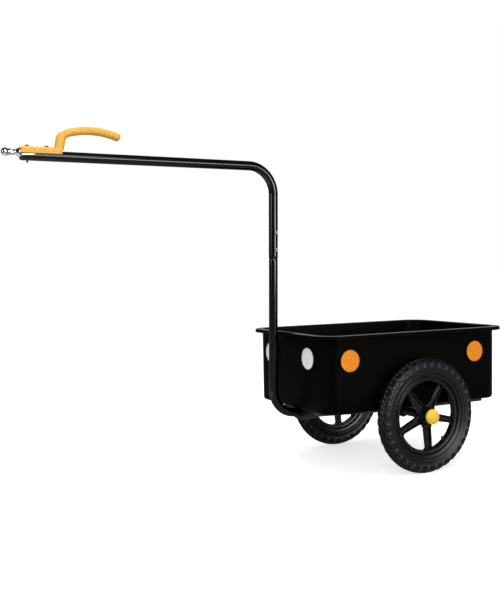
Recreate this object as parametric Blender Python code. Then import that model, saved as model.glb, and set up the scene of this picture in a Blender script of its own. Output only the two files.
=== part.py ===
"""Two-wheeled bicycle trailer: a moulded tub on a steel frame, with a high drawbar.

Lengths are in metres. The pieces are laid out with X forward, Y to the left and Z up, from
the point on the ground under the middle of the axle. One empty then moves the whole trailer
along X, so that the middle of its bounding box stands over the world's origin.
"""

import math

import bmesh
import bpy
from mathutils import Vector

# Clearances between neighbouring pieces
SEAT_GAP = 0.0003
RUNNING_GAP = 0.0005
HOLE_GAP = 0.0003

# Wheels
WHEEL_DIAMETER = 0.400
TYRE_WIDTH = 0.047
WHEEL_CLEARANCE = 0.0125
TYRE_WALL = 0.0034
BEAD_SEAT_DIAMETER = 0.305
RIM_LIP_HEIGHT = 0.0050
RIM_WIDTH = 0.036
RIM_LIP_WIDTH = 0.0030
RIM_WELL_DEPTH = 0.0080
RIM_INNER_DIAMETER = 0.240
RIM_INNER_WIDTH = 0.018
RIM_SHOULDER_DIAMETER = 0.272
SPOKE_COUNT = 5
SPOKE_ROOT_WIDTH = 0.029
SPOKE_TIP_WIDTH = 0.022
SPOKE_DEPTH = 0.018
SPOKE_CHANNEL_DEPTH = 0.008
SPOKE_EDGE_WIDTH = 0.0045
SPOKE_ANGLE = math.radians(-95.0)
HUB_LENGTH = 0.074
HUB_DIAMETER = 0.050
HUB_BORE_DIAMETER = 0.024
TUBE_WALL = 0.0015
VALVE_DIAMETER = 0.008
VALVE_REACH = 0.002
VALVE_CAP_LENGTH = 0.009
VALVE_CAP_DIAMETER = 0.0095

# Bearings, axle and hub cap
BEARING_OUTER_DIAMETER = 0.032
BEARING_WIDTH = 0.010
SPINDLE_DIAMETER = 0.012
AXLE_TUBE_DIAMETER = 0.030
AXLE_TUBE_WALL = 0.0020
STUB_PLUG_LENGTH = 0.060
STUB_SHOULDER = 0.003
WASHER_THICKNESS = 0.0015
WASHER_DIAMETER = 0.024
AXLE_NUT_HEIGHT = 0.006
AXLE_NUT_FLATS = 0.018
SPINDLE_SPARE = 0.0010
CAP_DIAMETER = 0.0526
CAP_WALL = 0.0018
CAP_GRIP = 0.005
CAP_STEP = 0.0046
CAP_DOME = 0.0075

# Tub
TUB_LENGTH = 0.758
TUB_WIDTH = 0.482
TUB_RIM_Z = 0.4915
TUB_WALL = 0.004
TUB_CORNER_RADIUS = 0.058
TUB_DRAFT = 0.001
TUB_EDGE_RADIUS = 0.010
FLANGE_REACH = 0.027
FLANGE_THICKNESS = 0.004
FLANGE_LIP = 0.012
RECESS_WIDTH = 0.118
RECESS_REACH = 0.009
RECESS_SLOPE = 0.006
PANEL_LENGTH = 0.660
PANEL_WIDTH = 0.210
PANEL_RISE = 0.002

# Frame under the tub
RAIL_WIDTH = 0.020
RAIL_HEIGHT = 0.025
RAIL_WALL = 0.002
RAIL_SPREAD = 0.285
RAIL_FRONT_SPREAD = 0.182
RAIL_KINK_X = 0.060
RAIL_REAR_X = -0.376
RAIL_BOTTOM_Z = 0.2008
REAR_MEMBER_X = -0.350
REAR_MEMBER_WIDTH = 0.020
HANGER_THICKNESS = 0.004
HANGER_RADIUS = 0.0234
HANGER_BOLT_X = 0.012
HANGER_BOLT_DIAMETER = 0.005
HANGER_BOLT_FLATS = 0.008
HANGER_BOLT_HEAD = 0.0035
YOKE_THICKNESS = 0.006
YOKE_FRONT_X = 0.338
YOKE_REAR_X = 0.215
YOKE_DROP = 0.025
YOKE_WINDOW_INNER = 0.040
YOKE_WINDOW_OUTER = 0.072
YOKE_WINDOW_BOTTOM = 0.2035
YOKE_WINDOW_TOP = 0.2110

# Drawbar
DRAWBAR_X = 0.441
DRAWBAR_LEAN = math.radians(0.9)
DRAWBAR_TOP_Z = 1.070
DRAWBAR_LOW_Z = 0.2055
DRAWBAR_BEND = 0.095
UPPER_TUBE_DIAMETER = 0.032
LOWER_TUBE_DIAMETER = 0.031
DRAWBAR_WALL = 0.00175
DRAWBAR_FRONT_X = 1.306
DRAWBAR_REAR_X = 0.225
JOINT_Z = 0.752
SPIGOT_LENGTH = 0.112
SPIGOT_TAPER = 0.008
JOINT_BOLT_HEIGHTS = (0.030, 0.090)
JOINT_BOLT_DIAMETER = 0.008
JOINT_BOLT_FLATS = 0.013
JOINT_BOLT_HEAD = 0.0053
JOINT_NUT_HEIGHT = 0.0055
BOLT_SPARE = 0.0015
SOCKET_WALL = 0.003
SOCKET_LENGTH = 0.150
SOCKET_FRONT_X = 0.350
SOCKET_BOLT_X = 0.280
SCARF_START_DROP = 0.0044
SCARF_LENGTH = 0.130

# Hitch
HITCH_RISE = 0.0077
BALL_DIAMETER = 0.0245
BALL_REACH = 0.0440
BALL_GROOVE_DIAMETER = 0.0180
STEM_DIAMETER = 0.0200
STEM_LENGTH = 0.0200
NECK_DIAMETER = 0.0154
CONE_DIAMETER = 0.0276
CONE_EDGE = 0.0012
BOSS_DIAMETER = 0.0110
BOSS_LENGTH = 0.0250
BOSS_REACH = 0.0265
ROOT_DIAMETER = 0.0160
ROOT_LENGTH = 0.0080
SHANK_SETBACK = 0.0030
SHANK_LENGTH = 0.098

# Handle
SADDLE_LENGTH = 0.127
SADDLE_FRONT_REACH = 0.002
SADDLE_HALF_WIDTH = 0.0195
SADDLE_TOP = 0.0100
SADDLE_SKIRT_RISE = 0.0055
SADDLE_EDGE = 0.005
GRIP_WIDTH = 0.026
GRIP_THICKNESS = 0.020
GRIP_ARC_RADIUS = 0.259
GRIP_ARC_X = 1.0875
GRIP_RISE = 0.070
GRIP_KNEE_SHARE = 0.51
GRIP_TIP_RINGS = ((0.27, 0.88), (0.42, 0.55))
GRIP_ROUNDNESS = 0.7
GRIP_FRONT_ANGLE = math.radians(16.0)
GRIP_REAR_ANGLE = math.radians(-19.4)
RISER_FOOT_X = 1.187
HANDLE_BOLT_XS = (1.285, 1.226)
HANDLE_BOLT_LENGTHS = (0.0487, 0.0360)
HANDLE_BOLT_DIAMETER = 0.006
HANDLE_BOLT_FLATS = 0.010
HANDLE_BOLT_HEAD = 0.0028
HANDLE_BOLT_FLANGE = 0.014

# Reflectors
REFLECTOR_DIAMETER = 0.080
REFLECTOR_DEPTH = 0.007
REFLECTOR_RIM = 0.004
REFLECTOR_END_Z = 0.4090
REFLECTOR_SIDE_Z = 0.4060
REFLECTOR_END_SPREAD = 0.252
REFLECTOR_SIDE_FRONT_X = 0.292
REFLECTOR_SIDE_REAR_X = -0.254

# Tub fixing bolts
TUB_BOLT_DIAMETER = 0.006
TUB_BOLT_FLATS = 0.010
TUB_BOLT_HEAD = 0.004
TUB_BOLT_WASHER = 0.024
TUB_BOLT_REAR_X = -0.310
TUB_BOLT_FRONT_X = 0.160
TUB_BOLT_LENGTH = 0.016

# Facets
WHEEL_STEPS = 40
ROUND_STEPS = 16
SMALL_STEPS = 12
BEND_STEPS = 8
CORNER_STEPS = 5
ARC_STEPS = 6
MERGE_DISTANCE = 1.0e-6

# Sizes that follow from the ones above
AXLE_Z = WHEEL_DIAMETER / 2
BEAD_RADIUS = BEAD_SEAT_DIAMETER / 2
RIM_RADIUS = BEAD_RADIUS + RIM_LIP_HEIGHT
RIM_HALF = RIM_WIDTH / 2
HUB_HALF = HUB_LENGTH / 2
SPINDLE_RADIUS = SPINDLE_DIAMETER / 2
AXLE_TUBE_RADIUS = AXLE_TUBE_DIAMETER / 2
RAIL_TOP_Z = RAIL_BOTTOM_Z + RAIL_HEIGHT
TUB_FLOOR_Z = RAIL_TOP_Z + SEAT_GAP
TUB_HALF_LENGTH = TUB_LENGTH / 2
TUB_HALF_WIDTH = TUB_WIDTH / 2
RAIL_Y = RAIL_SPREAD / 2
RAIL_FRONT_Y = RAIL_FRONT_SPREAD / 2
UPPER_RADIUS = UPPER_TUBE_DIAMETER / 2
LOWER_RADIUS = LOWER_TUBE_DIAMETER / 2
SPIGOT_RADIUS = UPPER_RADIUS - DRAWBAR_WALL - SEAT_GAP
SHANK_RADIUS = UPPER_RADIUS - DRAWBAR_WALL - SEAT_GAP
SOCKET_INNER_RADIUS = LOWER_RADIUS + SEAT_GAP
SOCKET_RADIUS = SOCKET_INNER_RADIUS + SOCKET_WALL
BALL_RADIUS = BALL_DIAMETER / 2
BALL_X = DRAWBAR_FRONT_X + BALL_REACH
TRACK = TUB_WIDTH + TYRE_WIDTH + 2 * WHEEL_CLEARANCE
HUB_END_Y = TRACK / 2 - HUB_HALF
SADDLE_TOP_Z = DRAWBAR_TOP_Z + UPPER_RADIUS + SADDLE_TOP
GRIP_TOP_Z = SADDLE_TOP_Z + GRIP_RISE
FRONT_X = BALL_X + BALL_RADIUS
REAR_X = -TUB_HALF_LENGTH - FLANGE_REACH
MIDDLE_X = (FRONT_X + REAR_X) / 2


def clear_scene():
    """Remove every object that the file starts with."""
    for obj in list(bpy.data.objects):
        bpy.data.objects.remove(obj)


def make_material(name, colour, roughness, metallic=0.0):
    """Make a material whose Principled BSDF has one colour, roughness and metallic value."""
    material = bpy.data.materials.new(name)
    material.use_nodes = True
    shader = material.node_tree.nodes["Principled BSDF"]
    shader.inputs["Base Color"].default_value = (*colour, 1.0)
    shader.inputs["Roughness"].default_value = roughness
    shader.inputs["Metallic"].default_value = metallic
    material.diffuse_color = (*colour, 1.0)
    return material


def make_empty(name, location=(0, 0, 0), rotation=(0, 0, 0), parent=None):
    """Make an empty that other pieces hang on."""
    empty = bpy.data.objects.new(name, None)
    bpy.context.scene.collection.objects.link(empty)
    empty.location = location
    empty.rotation_euler = rotation
    empty.parent = parent
    return empty


def make_piece(name, shape, material, parent, location=(0, 0, 0), rotation=(0, 0, 0)):
    """Turn a finished bmesh into a named object with one material."""
    bmesh.ops.recalc_face_normals(shape, faces=shape.faces)
    mesh = bpy.data.meshes.new(name)
    shape.to_mesh(mesh)
    shape.free()
    mesh.materials.append(material)
    mesh.shade_smooth()
    mesh.set_sharp_from_angle(angle=math.radians(35.0))
    piece = bpy.data.objects.new(name, mesh)
    bpy.context.scene.collection.objects.link(piece)
    piece.parent = parent
    piece.location = location
    piece.rotation_euler = rotation
    return piece


def make_tool(name, shape, material, parent, location=(0, 0, 0), rotation=(0, 0, 0)):
    """Make a guide object that only cuts or joins other pieces."""
    tool = make_piece(name, shape, material, parent, location, rotation)
    tool.hide_render = True
    tool.display_type = "WIRE"
    return tool


def combine(piece, tool, operation):
    """Cut a tool out of a piece, or join it on, with a live Boolean modifier."""
    modifier = piece.modifiers.new(tool.name, "BOOLEAN")
    modifier.operation = operation
    modifier.solver = "EXACT"
    modifier.object = tool


def loft(rings, closed=False):
    """Skin a list of rings with equal point counts, capped at both ends or closed on itself."""
    shape = bmesh.new()
    loops = [[shape.verts.new(point) for point in ring] for ring in rings]
    count = len(rings[0])
    pairs = list(zip(loops, loops[1:]))
    if closed:
        pairs.append((loops[-1], loops[0]))
    for lower, upper in pairs:
        for i in range(count):
            j = (i + 1) % count
            shape.faces.new((lower[i], lower[j], upper[j], upper[i]))
    if not closed:
        shape.faces.new(loops[0])
        shape.faces.new(loops[-1])
    return shape


def turned(profile, steps, closed=True):
    """Spin (radius, height) points about local Z; an open profile starts and ends on the axis."""
    shape = bmesh.new()
    verts = [shape.verts.new((radius, 0.0, height)) for radius, height in profile]
    edges = [shape.edges.new(pair) for pair in zip(verts, verts[1:])]
    if closed:
        edges.append(shape.edges.new((verts[-1], verts[0])))
    bmesh.ops.spin(shape, geom=verts + edges, cent=(0, 0, 0), axis=(0, 0, 1),
                   angle=math.tau, steps=steps, use_merge=True)
    bmesh.ops.remove_doubles(shape, verts=shape.verts, dist=MERGE_DISTANCE)
    return shape


def circle(radius, height, steps):
    """Points of a level circle about local Z."""
    angles = [math.tau * i / steps for i in range(steps)]
    return [(radius * math.cos(a), radius * math.sin(a), height) for a in angles]


def hexagon(flats, height):
    """A level hexagon with its corners and mid-sides as points, twelve in all."""
    points = []
    for i in range(SMALL_STEPS):
        reach = flats / 2 / (math.cos(math.pi / 6) if i % 2 == 0 else 1.0)
        angle = math.tau * i / SMALL_STEPS
        points.append((reach * math.cos(angle), reach * math.sin(angle), height))
    return points


def bolt_shape(diameter, length, flats, head):
    """A hexagon bolt: its head stands on Z = 0 and its shank hangs below."""
    return loft([
        hexagon(flats, head),
        hexagon(flats, 0.0),
        circle(diameter / 2, 0.0, SMALL_STEPS),
        circle(diameter / 2, -length, SMALL_STEPS),
    ])


def washer_bolt_shape(diameter, length, flats, head, washer, washer_height):
    """A bolt whose head is forged with a wide washer under it."""
    return loft([
        hexagon(flats, washer_height + head),
        hexagon(flats, washer_height),
        circle(washer / 2, washer_height, SMALL_STEPS),
        circle(washer / 2, 0.0, SMALL_STEPS),
        circle(diameter / 2, 0.0, SMALL_STEPS),
        circle(diameter / 2, -length, SMALL_STEPS),
    ])


def nut_shape(diameter, flats, height):
    """A hexagon nut on Z = 0, bored to clear its bolt."""
    bore = diameter / 2 + HOLE_GAP
    return loft([
        hexagon(flats, 0.0),
        hexagon(flats, height),
        circle(bore, height, SMALL_STEPS),
        circle(bore, 0.0, SMALL_STEPS),
    ], closed=True)


def rod_shape(diameter, length, steps=SMALL_STEPS):
    """A plain cylinder, centred on the local origin along Z."""
    return loft([circle(diameter / 2, -length / 2, steps), circle(diameter / 2, length / 2, steps)])


def block_shape(low, high):
    """A box between two corners."""
    def ring(z):
        return [(low[0], low[1], z), (high[0], low[1], z), (high[0], high[1], z), (low[0], high[1], z)]
    return loft([ring(low[2]), ring(high[2])])


def plate_shape(outline, low, high):
    """Stretch an outline of (Y, Z) points along X."""
    return loft([[(x, y, z) for y, z in outline] for x in (low, high)])


def bent_tube(stations, steps=ROUND_STEPS):
    """Sweep a round tube in the XZ plane.

    A station is (x, z, heading, outer radius, inner radius), and its ring stands square to
    the heading, an angle up from +X.
    """
    def ring(x, z, heading, radius):
        side = Vector((-math.sin(heading), 0.0, math.cos(heading)))
        points = []
        for i in range(steps):
            angle = math.tau * i / steps
            offset = side * (radius * math.cos(angle)) + Vector((0.0, radius * math.sin(angle), 0.0))
            points.append(Vector((x, 0.0, z)) + offset)
        return points
    outer = [ring(x, z, heading, radius) for x, z, heading, radius, _ in stations]
    inner = [ring(x, z, heading, bore) for x, z, heading, _, bore in reversed(stations)]
    return loft(outer + inner, closed=True)


def bend(centre, radius, start, turn):
    """Stations along an arc: its centre, its radius, the first heading and the turn."""
    stations = []
    side = 1.0 if turn > 0 else -1.0
    for i in range(BEND_STEPS + 1):
        heading = start + turn * i / BEND_STEPS
        x = centre[0] + side * radius * math.sin(heading)
        z = centre[1] - side * radius * math.cos(heading)
        stations.append((x, z, heading))
    return stations


def upright_point(distance):
    """X and Z on the drawbar's upright, at a distance along it above the joint."""
    return (DRAWBAR_X - distance * math.sin(DRAWBAR_LEAN), JOINT_Z + distance * math.cos(DRAWBAR_LEAN))


def upright_x(z):
    """X of the drawbar's upright at a height."""
    return DRAWBAR_X - (z - JOINT_Z) * math.tan(DRAWBAR_LEAN)


def box_tube(path, width, height, wall, bottom):
    """Sweep a square tube along (x, y) points at a level, with mitred corners and open ends."""
    def offset_points(offset):
        points = []
        for i, (x, y) in enumerate(path):
            before = Vector(path[i]) - Vector(path[i - 1]) if i > 0 else None
            after = Vector(path[i + 1]) - Vector(path[i]) if i < len(path) - 1 else None
            first = (before or after).normalized()
            last = (after or before).normalized()
            middle = (first + last).normalized()
            normal = Vector((-middle.y, middle.x))
            points.append(Vector((x, y)) + normal * (offset / middle.dot(first)))
        return points

    def rings(inset):
        left = offset_points(width / 2 - inset)
        right = offset_points(inset - width / 2)
        low = bottom + inset
        high = bottom + height - inset
        return [[(a.x, a.y, low), (b.x, b.y, low), (b.x, b.y, high), (a.x, a.y, high)]
                for a, b in zip(left, right)]
    return loft(rings(0.0) + list(reversed(rings(wall))), closed=True)


def make_materials():
    """The finishes of the trailer's pieces."""
    return {
        "tub": make_material("tub_plastic", (0.030, 0.031, 0.032), 0.38),
        "frame": make_material("frame_paint", (0.016, 0.016, 0.017), 0.42),
        "drawbar": make_material("drawbar_paint", (0.010, 0.010, 0.011), 0.18),
        "zinc": make_material("zinc_steel", (0.62, 0.63, 0.64), 0.30, 1.0),
        "chrome": make_material("ball_chrome", (0.75, 0.76, 0.77), 0.08, 1.0),
        "yellow": make_material("yellow_plastic", (0.86, 0.47, 0.06), 0.40),
        "wheel": make_material("wheel_plastic", (0.018, 0.018, 0.019), 0.34),
        "tyre": make_material("tyre_rubber", (0.040, 0.041, 0.044), 0.62),
        "rubber": make_material("tube_rubber", (0.015, 0.015, 0.015), 0.70),
        "bearing": make_material("bearing_steel", (0.55, 0.55, 0.56), 0.25, 1.0),
        "white": make_material("reflector_white", (0.80, 0.82, 0.84), 0.15),
        "orange": make_material("reflector_orange", (0.90, 0.38, 0.08), 0.15),
        "red": make_material("reflector_red", (0.55, 0.02, 0.02), 0.15),
    }


def tub_ring(offset, z):
    """Rounded rectangle of the tub at a distance outside its wall, with the front recess.

    Points further out than the recess reach are held back between the recess edges.
    """
    half_length = TUB_HALF_LENGTH + offset
    half_width = TUB_HALF_WIDTH + offset
    radius = TUB_CORNER_RADIUS + offset
    points = []
    for quarter, (sx, sy) in enumerate(((1, 1), (-1, 1), (-1, -1), (1, -1))):
        for i in range(CORNER_STEPS + 1):
            angle = math.pi / 2 * (quarter + i / CORNER_STEPS)
            x = sx * (half_length - radius) + radius * math.cos(angle)
            y = sy * (half_width - radius) + radius * math.sin(angle)
            points.append((x, y, z))
    edge = RECESS_WIDTH / 2
    held = TUB_HALF_LENGTH + min(offset, RECESS_REACH - (FLANGE_REACH - offset) / 2)
    if offset <= 0:
        held = half_length
    points.append((half_length, -edge, z))
    points.append((held, RECESS_SLOPE - edge, z))
    points.append((held, edge - RECESS_SLOPE, z))
    points.append((half_length, edge, z))
    return points


def build_tub(parts, root):
    """The tub: drafted walls, a rounded lower edge, a folded flange and a raised floor panel."""
    lip_bottom = TUB_RIM_Z - FLANGE_LIP
    under = TUB_RIM_Z - FLANGE_THICKNESS
    lip_inner = FLANGE_REACH - FLANGE_THICKNESS
    soften = FLANGE_THICKNESS / 2
    inner_top = TUB_EDGE_RADIUS - TUB_WALL
    floor_top = TUB_FLOOR_Z + TUB_WALL
    corner = 1.0 - math.sqrt(0.5)
    rings = [
        tub_ring(-TUB_DRAFT - TUB_EDGE_RADIUS, TUB_FLOOR_Z),
        tub_ring(-TUB_DRAFT - TUB_EDGE_RADIUS * corner, TUB_FLOOR_Z + TUB_EDGE_RADIUS * corner),
        tub_ring(-TUB_DRAFT, TUB_FLOOR_Z + TUB_EDGE_RADIUS),
        tub_ring(0.0, under),
        tub_ring(lip_inner, under),
        tub_ring(lip_inner, lip_bottom),
        tub_ring(FLANGE_REACH, lip_bottom),
        tub_ring(FLANGE_REACH, TUB_RIM_Z - soften),
        tub_ring(FLANGE_REACH - soften, TUB_RIM_Z),
        tub_ring(-TUB_WALL + soften, TUB_RIM_Z),
        tub_ring(-TUB_WALL, TUB_RIM_Z - soften),
        tub_ring(-TUB_DRAFT - TUB_WALL, floor_top + inner_top),
        tub_ring(-TUB_DRAFT - TUB_WALL - inner_top, floor_top),
    ]
    tub = make_piece("tub", loft(rings), parts["tub"], root)
    panel = block_shape((-PANEL_LENGTH / 2, -PANEL_WIDTH / 2, floor_top - TUB_WALL / 2),
                        (PANEL_LENGTH / 2, PANEL_WIDTH / 2, floor_top + PANEL_RISE))
    combine(tub, make_tool("floor_panel", panel, parts["tub"], root), "UNION")
    for name, x, y in tub_bolt_places():
        hole = rod_shape(TUB_BOLT_DIAMETER + 2 * HOLE_GAP, 3 * TUB_WALL)
        tool = make_tool(f"hole_{name}", hole, parts["frame"], root, (x, y, TUB_FLOOR_Z))
        combine(tub, tool, "DIFFERENCE")


def rail_middle_y(x):
    """Distance of a rail's middle from the centre plane at a place along the trailer."""
    if x <= RAIL_KINK_X:
        return RAIL_Y
    share = (x - RAIL_KINK_X) / (YOKE_FRONT_X - SEAT_GAP - RAIL_KINK_X)
    return RAIL_Y + (RAIL_FRONT_Y - RAIL_Y) * share


def tub_bolt_places():
    """Name, x and y of each bolt that holds the tub to the rails."""
    places = []
    for end, x in (("rear", TUB_BOLT_REAR_X), ("front", TUB_BOLT_FRONT_X)):
        for side, sign in (("left", 1), ("right", -1)):
            places.append((f"tub_bolt_{end}_{side}", x, sign * rail_middle_y(x)))
    return places


def build_tub_bolts(parts, root):
    """Bolts with wide washers inside the tub, screwed into the rails."""
    for name, x, y in tub_bolt_places():
        shape = washer_bolt_shape(TUB_BOLT_DIAMETER, TUB_BOLT_LENGTH, TUB_BOLT_FLATS, TUB_BOLT_HEAD,
                                  TUB_BOLT_WASHER, WASHER_THICKNESS)
        make_piece(name, shape, parts["zinc"], root, (x, y, TUB_FLOOR_Z + TUB_WALL + SEAT_GAP))


def build_reflector(name, material, root, location, rotation):
    """A round reflector: a shallow dish with a raised rim, its back on the wall."""
    radius = REFLECTOR_DIAMETER / 2
    profile = [
        (0.0, 0.0),
        (radius, 0.0),
        (radius, REFLECTOR_DEPTH - REFLECTOR_RIM / 4),
        (radius - REFLECTOR_RIM, REFLECTOR_DEPTH),
        (0.0, REFLECTOR_DEPTH),
    ]
    make_piece(name, turned(profile, 2 * SMALL_STEPS, closed=False), material, root, location, rotation)


def build_reflectors(parts, root):
    """Two white reflectors in front, two red ones behind and two orange ones on each side."""
    quarter = math.pi / 2
    stand = SEAT_GAP - TUB_DRAFT / 4
    for side, sign in (("left", 1), ("right", -1)):
        y = sign * REFLECTOR_END_SPREAD / 2
        build_reflector(f"reflector_front_{side}", parts["white"], root,
                        (TUB_HALF_LENGTH + stand, y, REFLECTOR_END_Z), (0, quarter, 0))
        build_reflector(f"reflector_rear_{side}", parts["red"], root,
                        (-TUB_HALF_LENGTH - stand, y, REFLECTOR_END_Z), (0, -quarter, 0))
        for place, x in (("front", REFLECTOR_SIDE_FRONT_X), ("rear", REFLECTOR_SIDE_REAR_X)):
            build_reflector(f"reflector_{side}_{place}", parts["orange"], root,
                            (x, sign * (TUB_HALF_WIDTH + stand), REFLECTOR_SIDE_Z),
                            (-sign * quarter, 0, 0))


def build_rails(parts, root):
    """Two square tubes that run forward and close in on the drawbar, saddled over the axle."""
    for side, sign in (("left", 1), ("right", -1)):
        path = [(RAIL_REAR_X, sign * RAIL_Y), (RAIL_KINK_X, sign * RAIL_Y),
                (YOKE_FRONT_X - SEAT_GAP, sign * RAIL_FRONT_Y)]
        shape = box_tube(path, RAIL_WIDTH, RAIL_HEIGHT, RAIL_WALL, RAIL_BOTTOM_Z)
        rail = make_piece(f"frame_rail_{side}", shape, parts["frame"], root)
        saddle = rod_shape(AXLE_TUBE_DIAMETER + 2 * SEAT_GAP, 3 * RAIL_WIDTH, ROUND_STEPS)
        tool = make_tool(f"saddle_{side}", saddle, parts["frame"], root,
                         (0, sign * RAIL_Y, AXLE_Z), (math.pi / 2, 0, 0))
        combine(rail, tool, "DIFFERENCE")
        front = block_shape((YOKE_FRONT_X - SEAT_GAP, -TRACK, 0), (YOKE_FRONT_X + RAIL_WIDTH, TRACK, TUB_RIM_Z))
        combine(rail, make_tool(f"rail_end_{side}", front, parts["frame"], root), "DIFFERENCE")
        for name, x, y in tub_bolt_places():
            if y * sign > 0:
                hole = rod_shape(TUB_BOLT_DIAMETER + 2 * HOLE_GAP, 3 * RAIL_WALL)
                combine(rail, make_tool(f"thread_{name}", hole, parts["frame"], root,
                                        (x, y, RAIL_TOP_Z)), "DIFFERENCE")
        for bolt_x in (-HANGER_BOLT_X, HANGER_BOLT_X):
            hole = rod_shape(HANGER_BOLT_DIAMETER + 2 * HOLE_GAP, 3 * RAIL_WIDTH)
            place = "front" if bolt_x > 0 else "rear"
            combine(rail, make_tool(f"rail_hole_{place}_{side}", hole, parts["frame"], root,
                                    (bolt_x, sign * RAIL_Y, hanger_bolt_z()), (math.pi / 2, 0, 0)),
                    "DIFFERENCE")


def hanger_bolt_z():
    """Height of the hanger bolts, midway between the axle tube and the rail's top."""
    return (AXLE_Z + AXLE_TUBE_RADIUS + RAIL_TOP_Z) / 2 - RAIL_WALL / 4


def build_hangers(parts, root):
    """Plates on the rails' outer faces that carry the axle tube, with their bolts."""
    for side, sign in (("left", 1), ("right", -1)):
        outline = []
        for i in range(ROUND_STEPS // 2 + 1):
            angle = math.pi + math.tau * i / ROUND_STEPS
            outline.append((HANGER_RADIUS * math.cos(angle), AXLE_Z + HANGER_RADIUS * math.sin(angle)))
        outline.append((HANGER_RADIUS, RAIL_TOP_Z - RAIL_WALL / 2))
        outline.append((-HANGER_RADIUS, RAIL_TOP_Z - RAIL_WALL / 2))
        near = RAIL_Y + RAIL_WIDTH / 2 + SEAT_GAP
        rings = [[(x, sign * y, z) for x, z in outline] for y in (near, near + HANGER_THICKNESS)]
        hanger = make_piece(f"axle_hanger_{side}", loft(rings), parts["frame"], root)
        bore = rod_shape(AXLE_TUBE_DIAMETER + 2 * SEAT_GAP, 3 * RAIL_WIDTH, ROUND_STEPS)
        combine(hanger, make_tool(f"hanger_bore_{side}", bore, parts["frame"], root,
                                  (0, sign * near, AXLE_Z), (math.pi / 2, 0, 0)), "DIFFERENCE")
        for place, bolt_x in (("front", HANGER_BOLT_X), ("rear", -HANGER_BOLT_X)):
            hole = rod_shape(HANGER_BOLT_DIAMETER + 2 * HOLE_GAP, 3 * RAIL_WIDTH)
            combine(hanger, make_tool(f"hanger_hole_{place}_{side}", hole, parts["frame"], root,
                                      (bolt_x, sign * near, hanger_bolt_z()), (math.pi / 2, 0, 0)),
                    "DIFFERENCE")
            face = near + HANGER_THICKNESS + SEAT_GAP
            bolt = bolt_shape(HANGER_BOLT_DIAMETER, HANGER_THICKNESS + RAIL_WIDTH,
                              HANGER_BOLT_FLATS, HANGER_BOLT_HEAD)
            make_piece(f"hanger_bolt_{place}_{side}", bolt, parts["zinc"], root,
                       (bolt_x, sign * face, hanger_bolt_z()), (-sign * math.pi / 2, 0, 0))


def build_rear_member(parts, root):
    """The cross tube that joins the rails behind."""
    reach = RAIL_Y - RAIL_WIDTH / 2 - SEAT_GAP
    path = [(REAR_MEMBER_X, -reach), (REAR_MEMBER_X, reach)]
    shape = box_tube(path, REAR_MEMBER_WIDTH, RAIL_HEIGHT, RAIL_WALL, RAIL_BOTTOM_Z)
    make_piece("frame_rear_member", shape, parts["frame"], root)


def build_yokes(parts, root):
    """Two upright plates that hold the drawbar's socket between the rails."""
    top = RAIL_TOP_Z
    low = DRAWBAR_LOW_Z - SOCKET_RADIUS - (YOKE_DROP - SOCKET_RADIUS)
    tie = RAIL_FRONT_Y + RAIL_WIDTH / 2 + SOCKET_WALL
    waist = YOKE_WINDOW_OUTER + SOCKET_WALL * 4
    outline = [(-tie, top), (-tie, RAIL_BOTTOM_Z), (-waist, low + YOKE_DROP / 2),
               (-SOCKET_RADIUS, low - YOKE_THICKNESS / 2), (SOCKET_RADIUS, low - YOKE_THICKNESS / 2),
               (waist, low + YOKE_DROP / 2), (tie, RAIL_BOTTOM_Z), (tie, top)]
    front = make_piece("yoke_front", plate_shape(outline, YOKE_FRONT_X, YOKE_FRONT_X + YOKE_THICKNESS),
                       parts["frame"], root)
    for side, sign in (("left", 1), ("right", -1)):
        near, far = sorted((sign * YOKE_WINDOW_INNER, sign * YOKE_WINDOW_OUTER))
        window = block_shape((YOKE_FRONT_X - YOKE_THICKNESS, near, YOKE_WINDOW_BOTTOM),
                             (YOKE_FRONT_X + 2 * YOKE_THICKNESS, far, YOKE_WINDOW_TOP))
        combine(front, make_tool(f"yoke_window_{side}", window, parts["frame"], root), "DIFFERENCE")
    slope = (RAIL_Y - RAIL_FRONT_Y) / (YOKE_FRONT_X - SEAT_GAP - RAIL_KINK_X)
    slant = RAIL_WIDTH / 2 * math.hypot(1.0, slope)
    reach = rail_middle_y(YOKE_REAR_X + YOKE_THICKNESS) - slant - SEAT_GAP
    outline = [(-reach, top), (-reach, RAIL_BOTTOM_Z), (-SOCKET_RADIUS, low),
               (SOCKET_RADIUS, low), (reach, RAIL_BOTTOM_Z), (reach, top)]
    rear = make_piece("yoke_rear", plate_shape(outline, YOKE_REAR_X, YOKE_REAR_X + YOKE_THICKNESS),
                      parts["frame"], root)
    for name, yoke, x in (("front", front, YOKE_FRONT_X), ("rear", rear, YOKE_REAR_X)):
        bore = rod_shape(2 * (SOCKET_RADIUS + SEAT_GAP), 4 * YOKE_THICKNESS, ROUND_STEPS)
        combine(yoke, make_tool(f"yoke_bore_{name}", bore, parts["frame"], root,
                                (x, 0, DRAWBAR_LOW_Z), (0, math.pi / 2, 0)), "DIFFERENCE")


def build_socket(parts, root):
    """The sleeve under the tub that the drawbar slides into, and its cross bolt."""
    stations = [(x, DRAWBAR_LOW_Z, 0.0, SOCKET_RADIUS, SOCKET_INNER_RADIUS)
                for x in (SOCKET_FRONT_X - SOCKET_LENGTH, SOCKET_FRONT_X)]
    socket = make_piece("drawbar_socket", bent_tube(stations), parts["frame"], root)
    hole = rod_shape(JOINT_BOLT_DIAMETER + 2 * HOLE_GAP, 4 * SOCKET_RADIUS)
    tool = make_tool("socket_hole", hole, parts["frame"], root,
                     (SOCKET_BOLT_X, 0, DRAWBAR_LOW_Z), (math.pi / 2, 0, 0))
    combine(socket, tool, "DIFFERENCE")
    cross_bolt("socket", parts, root, SOCKET_BOLT_X, DRAWBAR_LOW_Z, SOCKET_RADIUS)
    return tool


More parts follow.
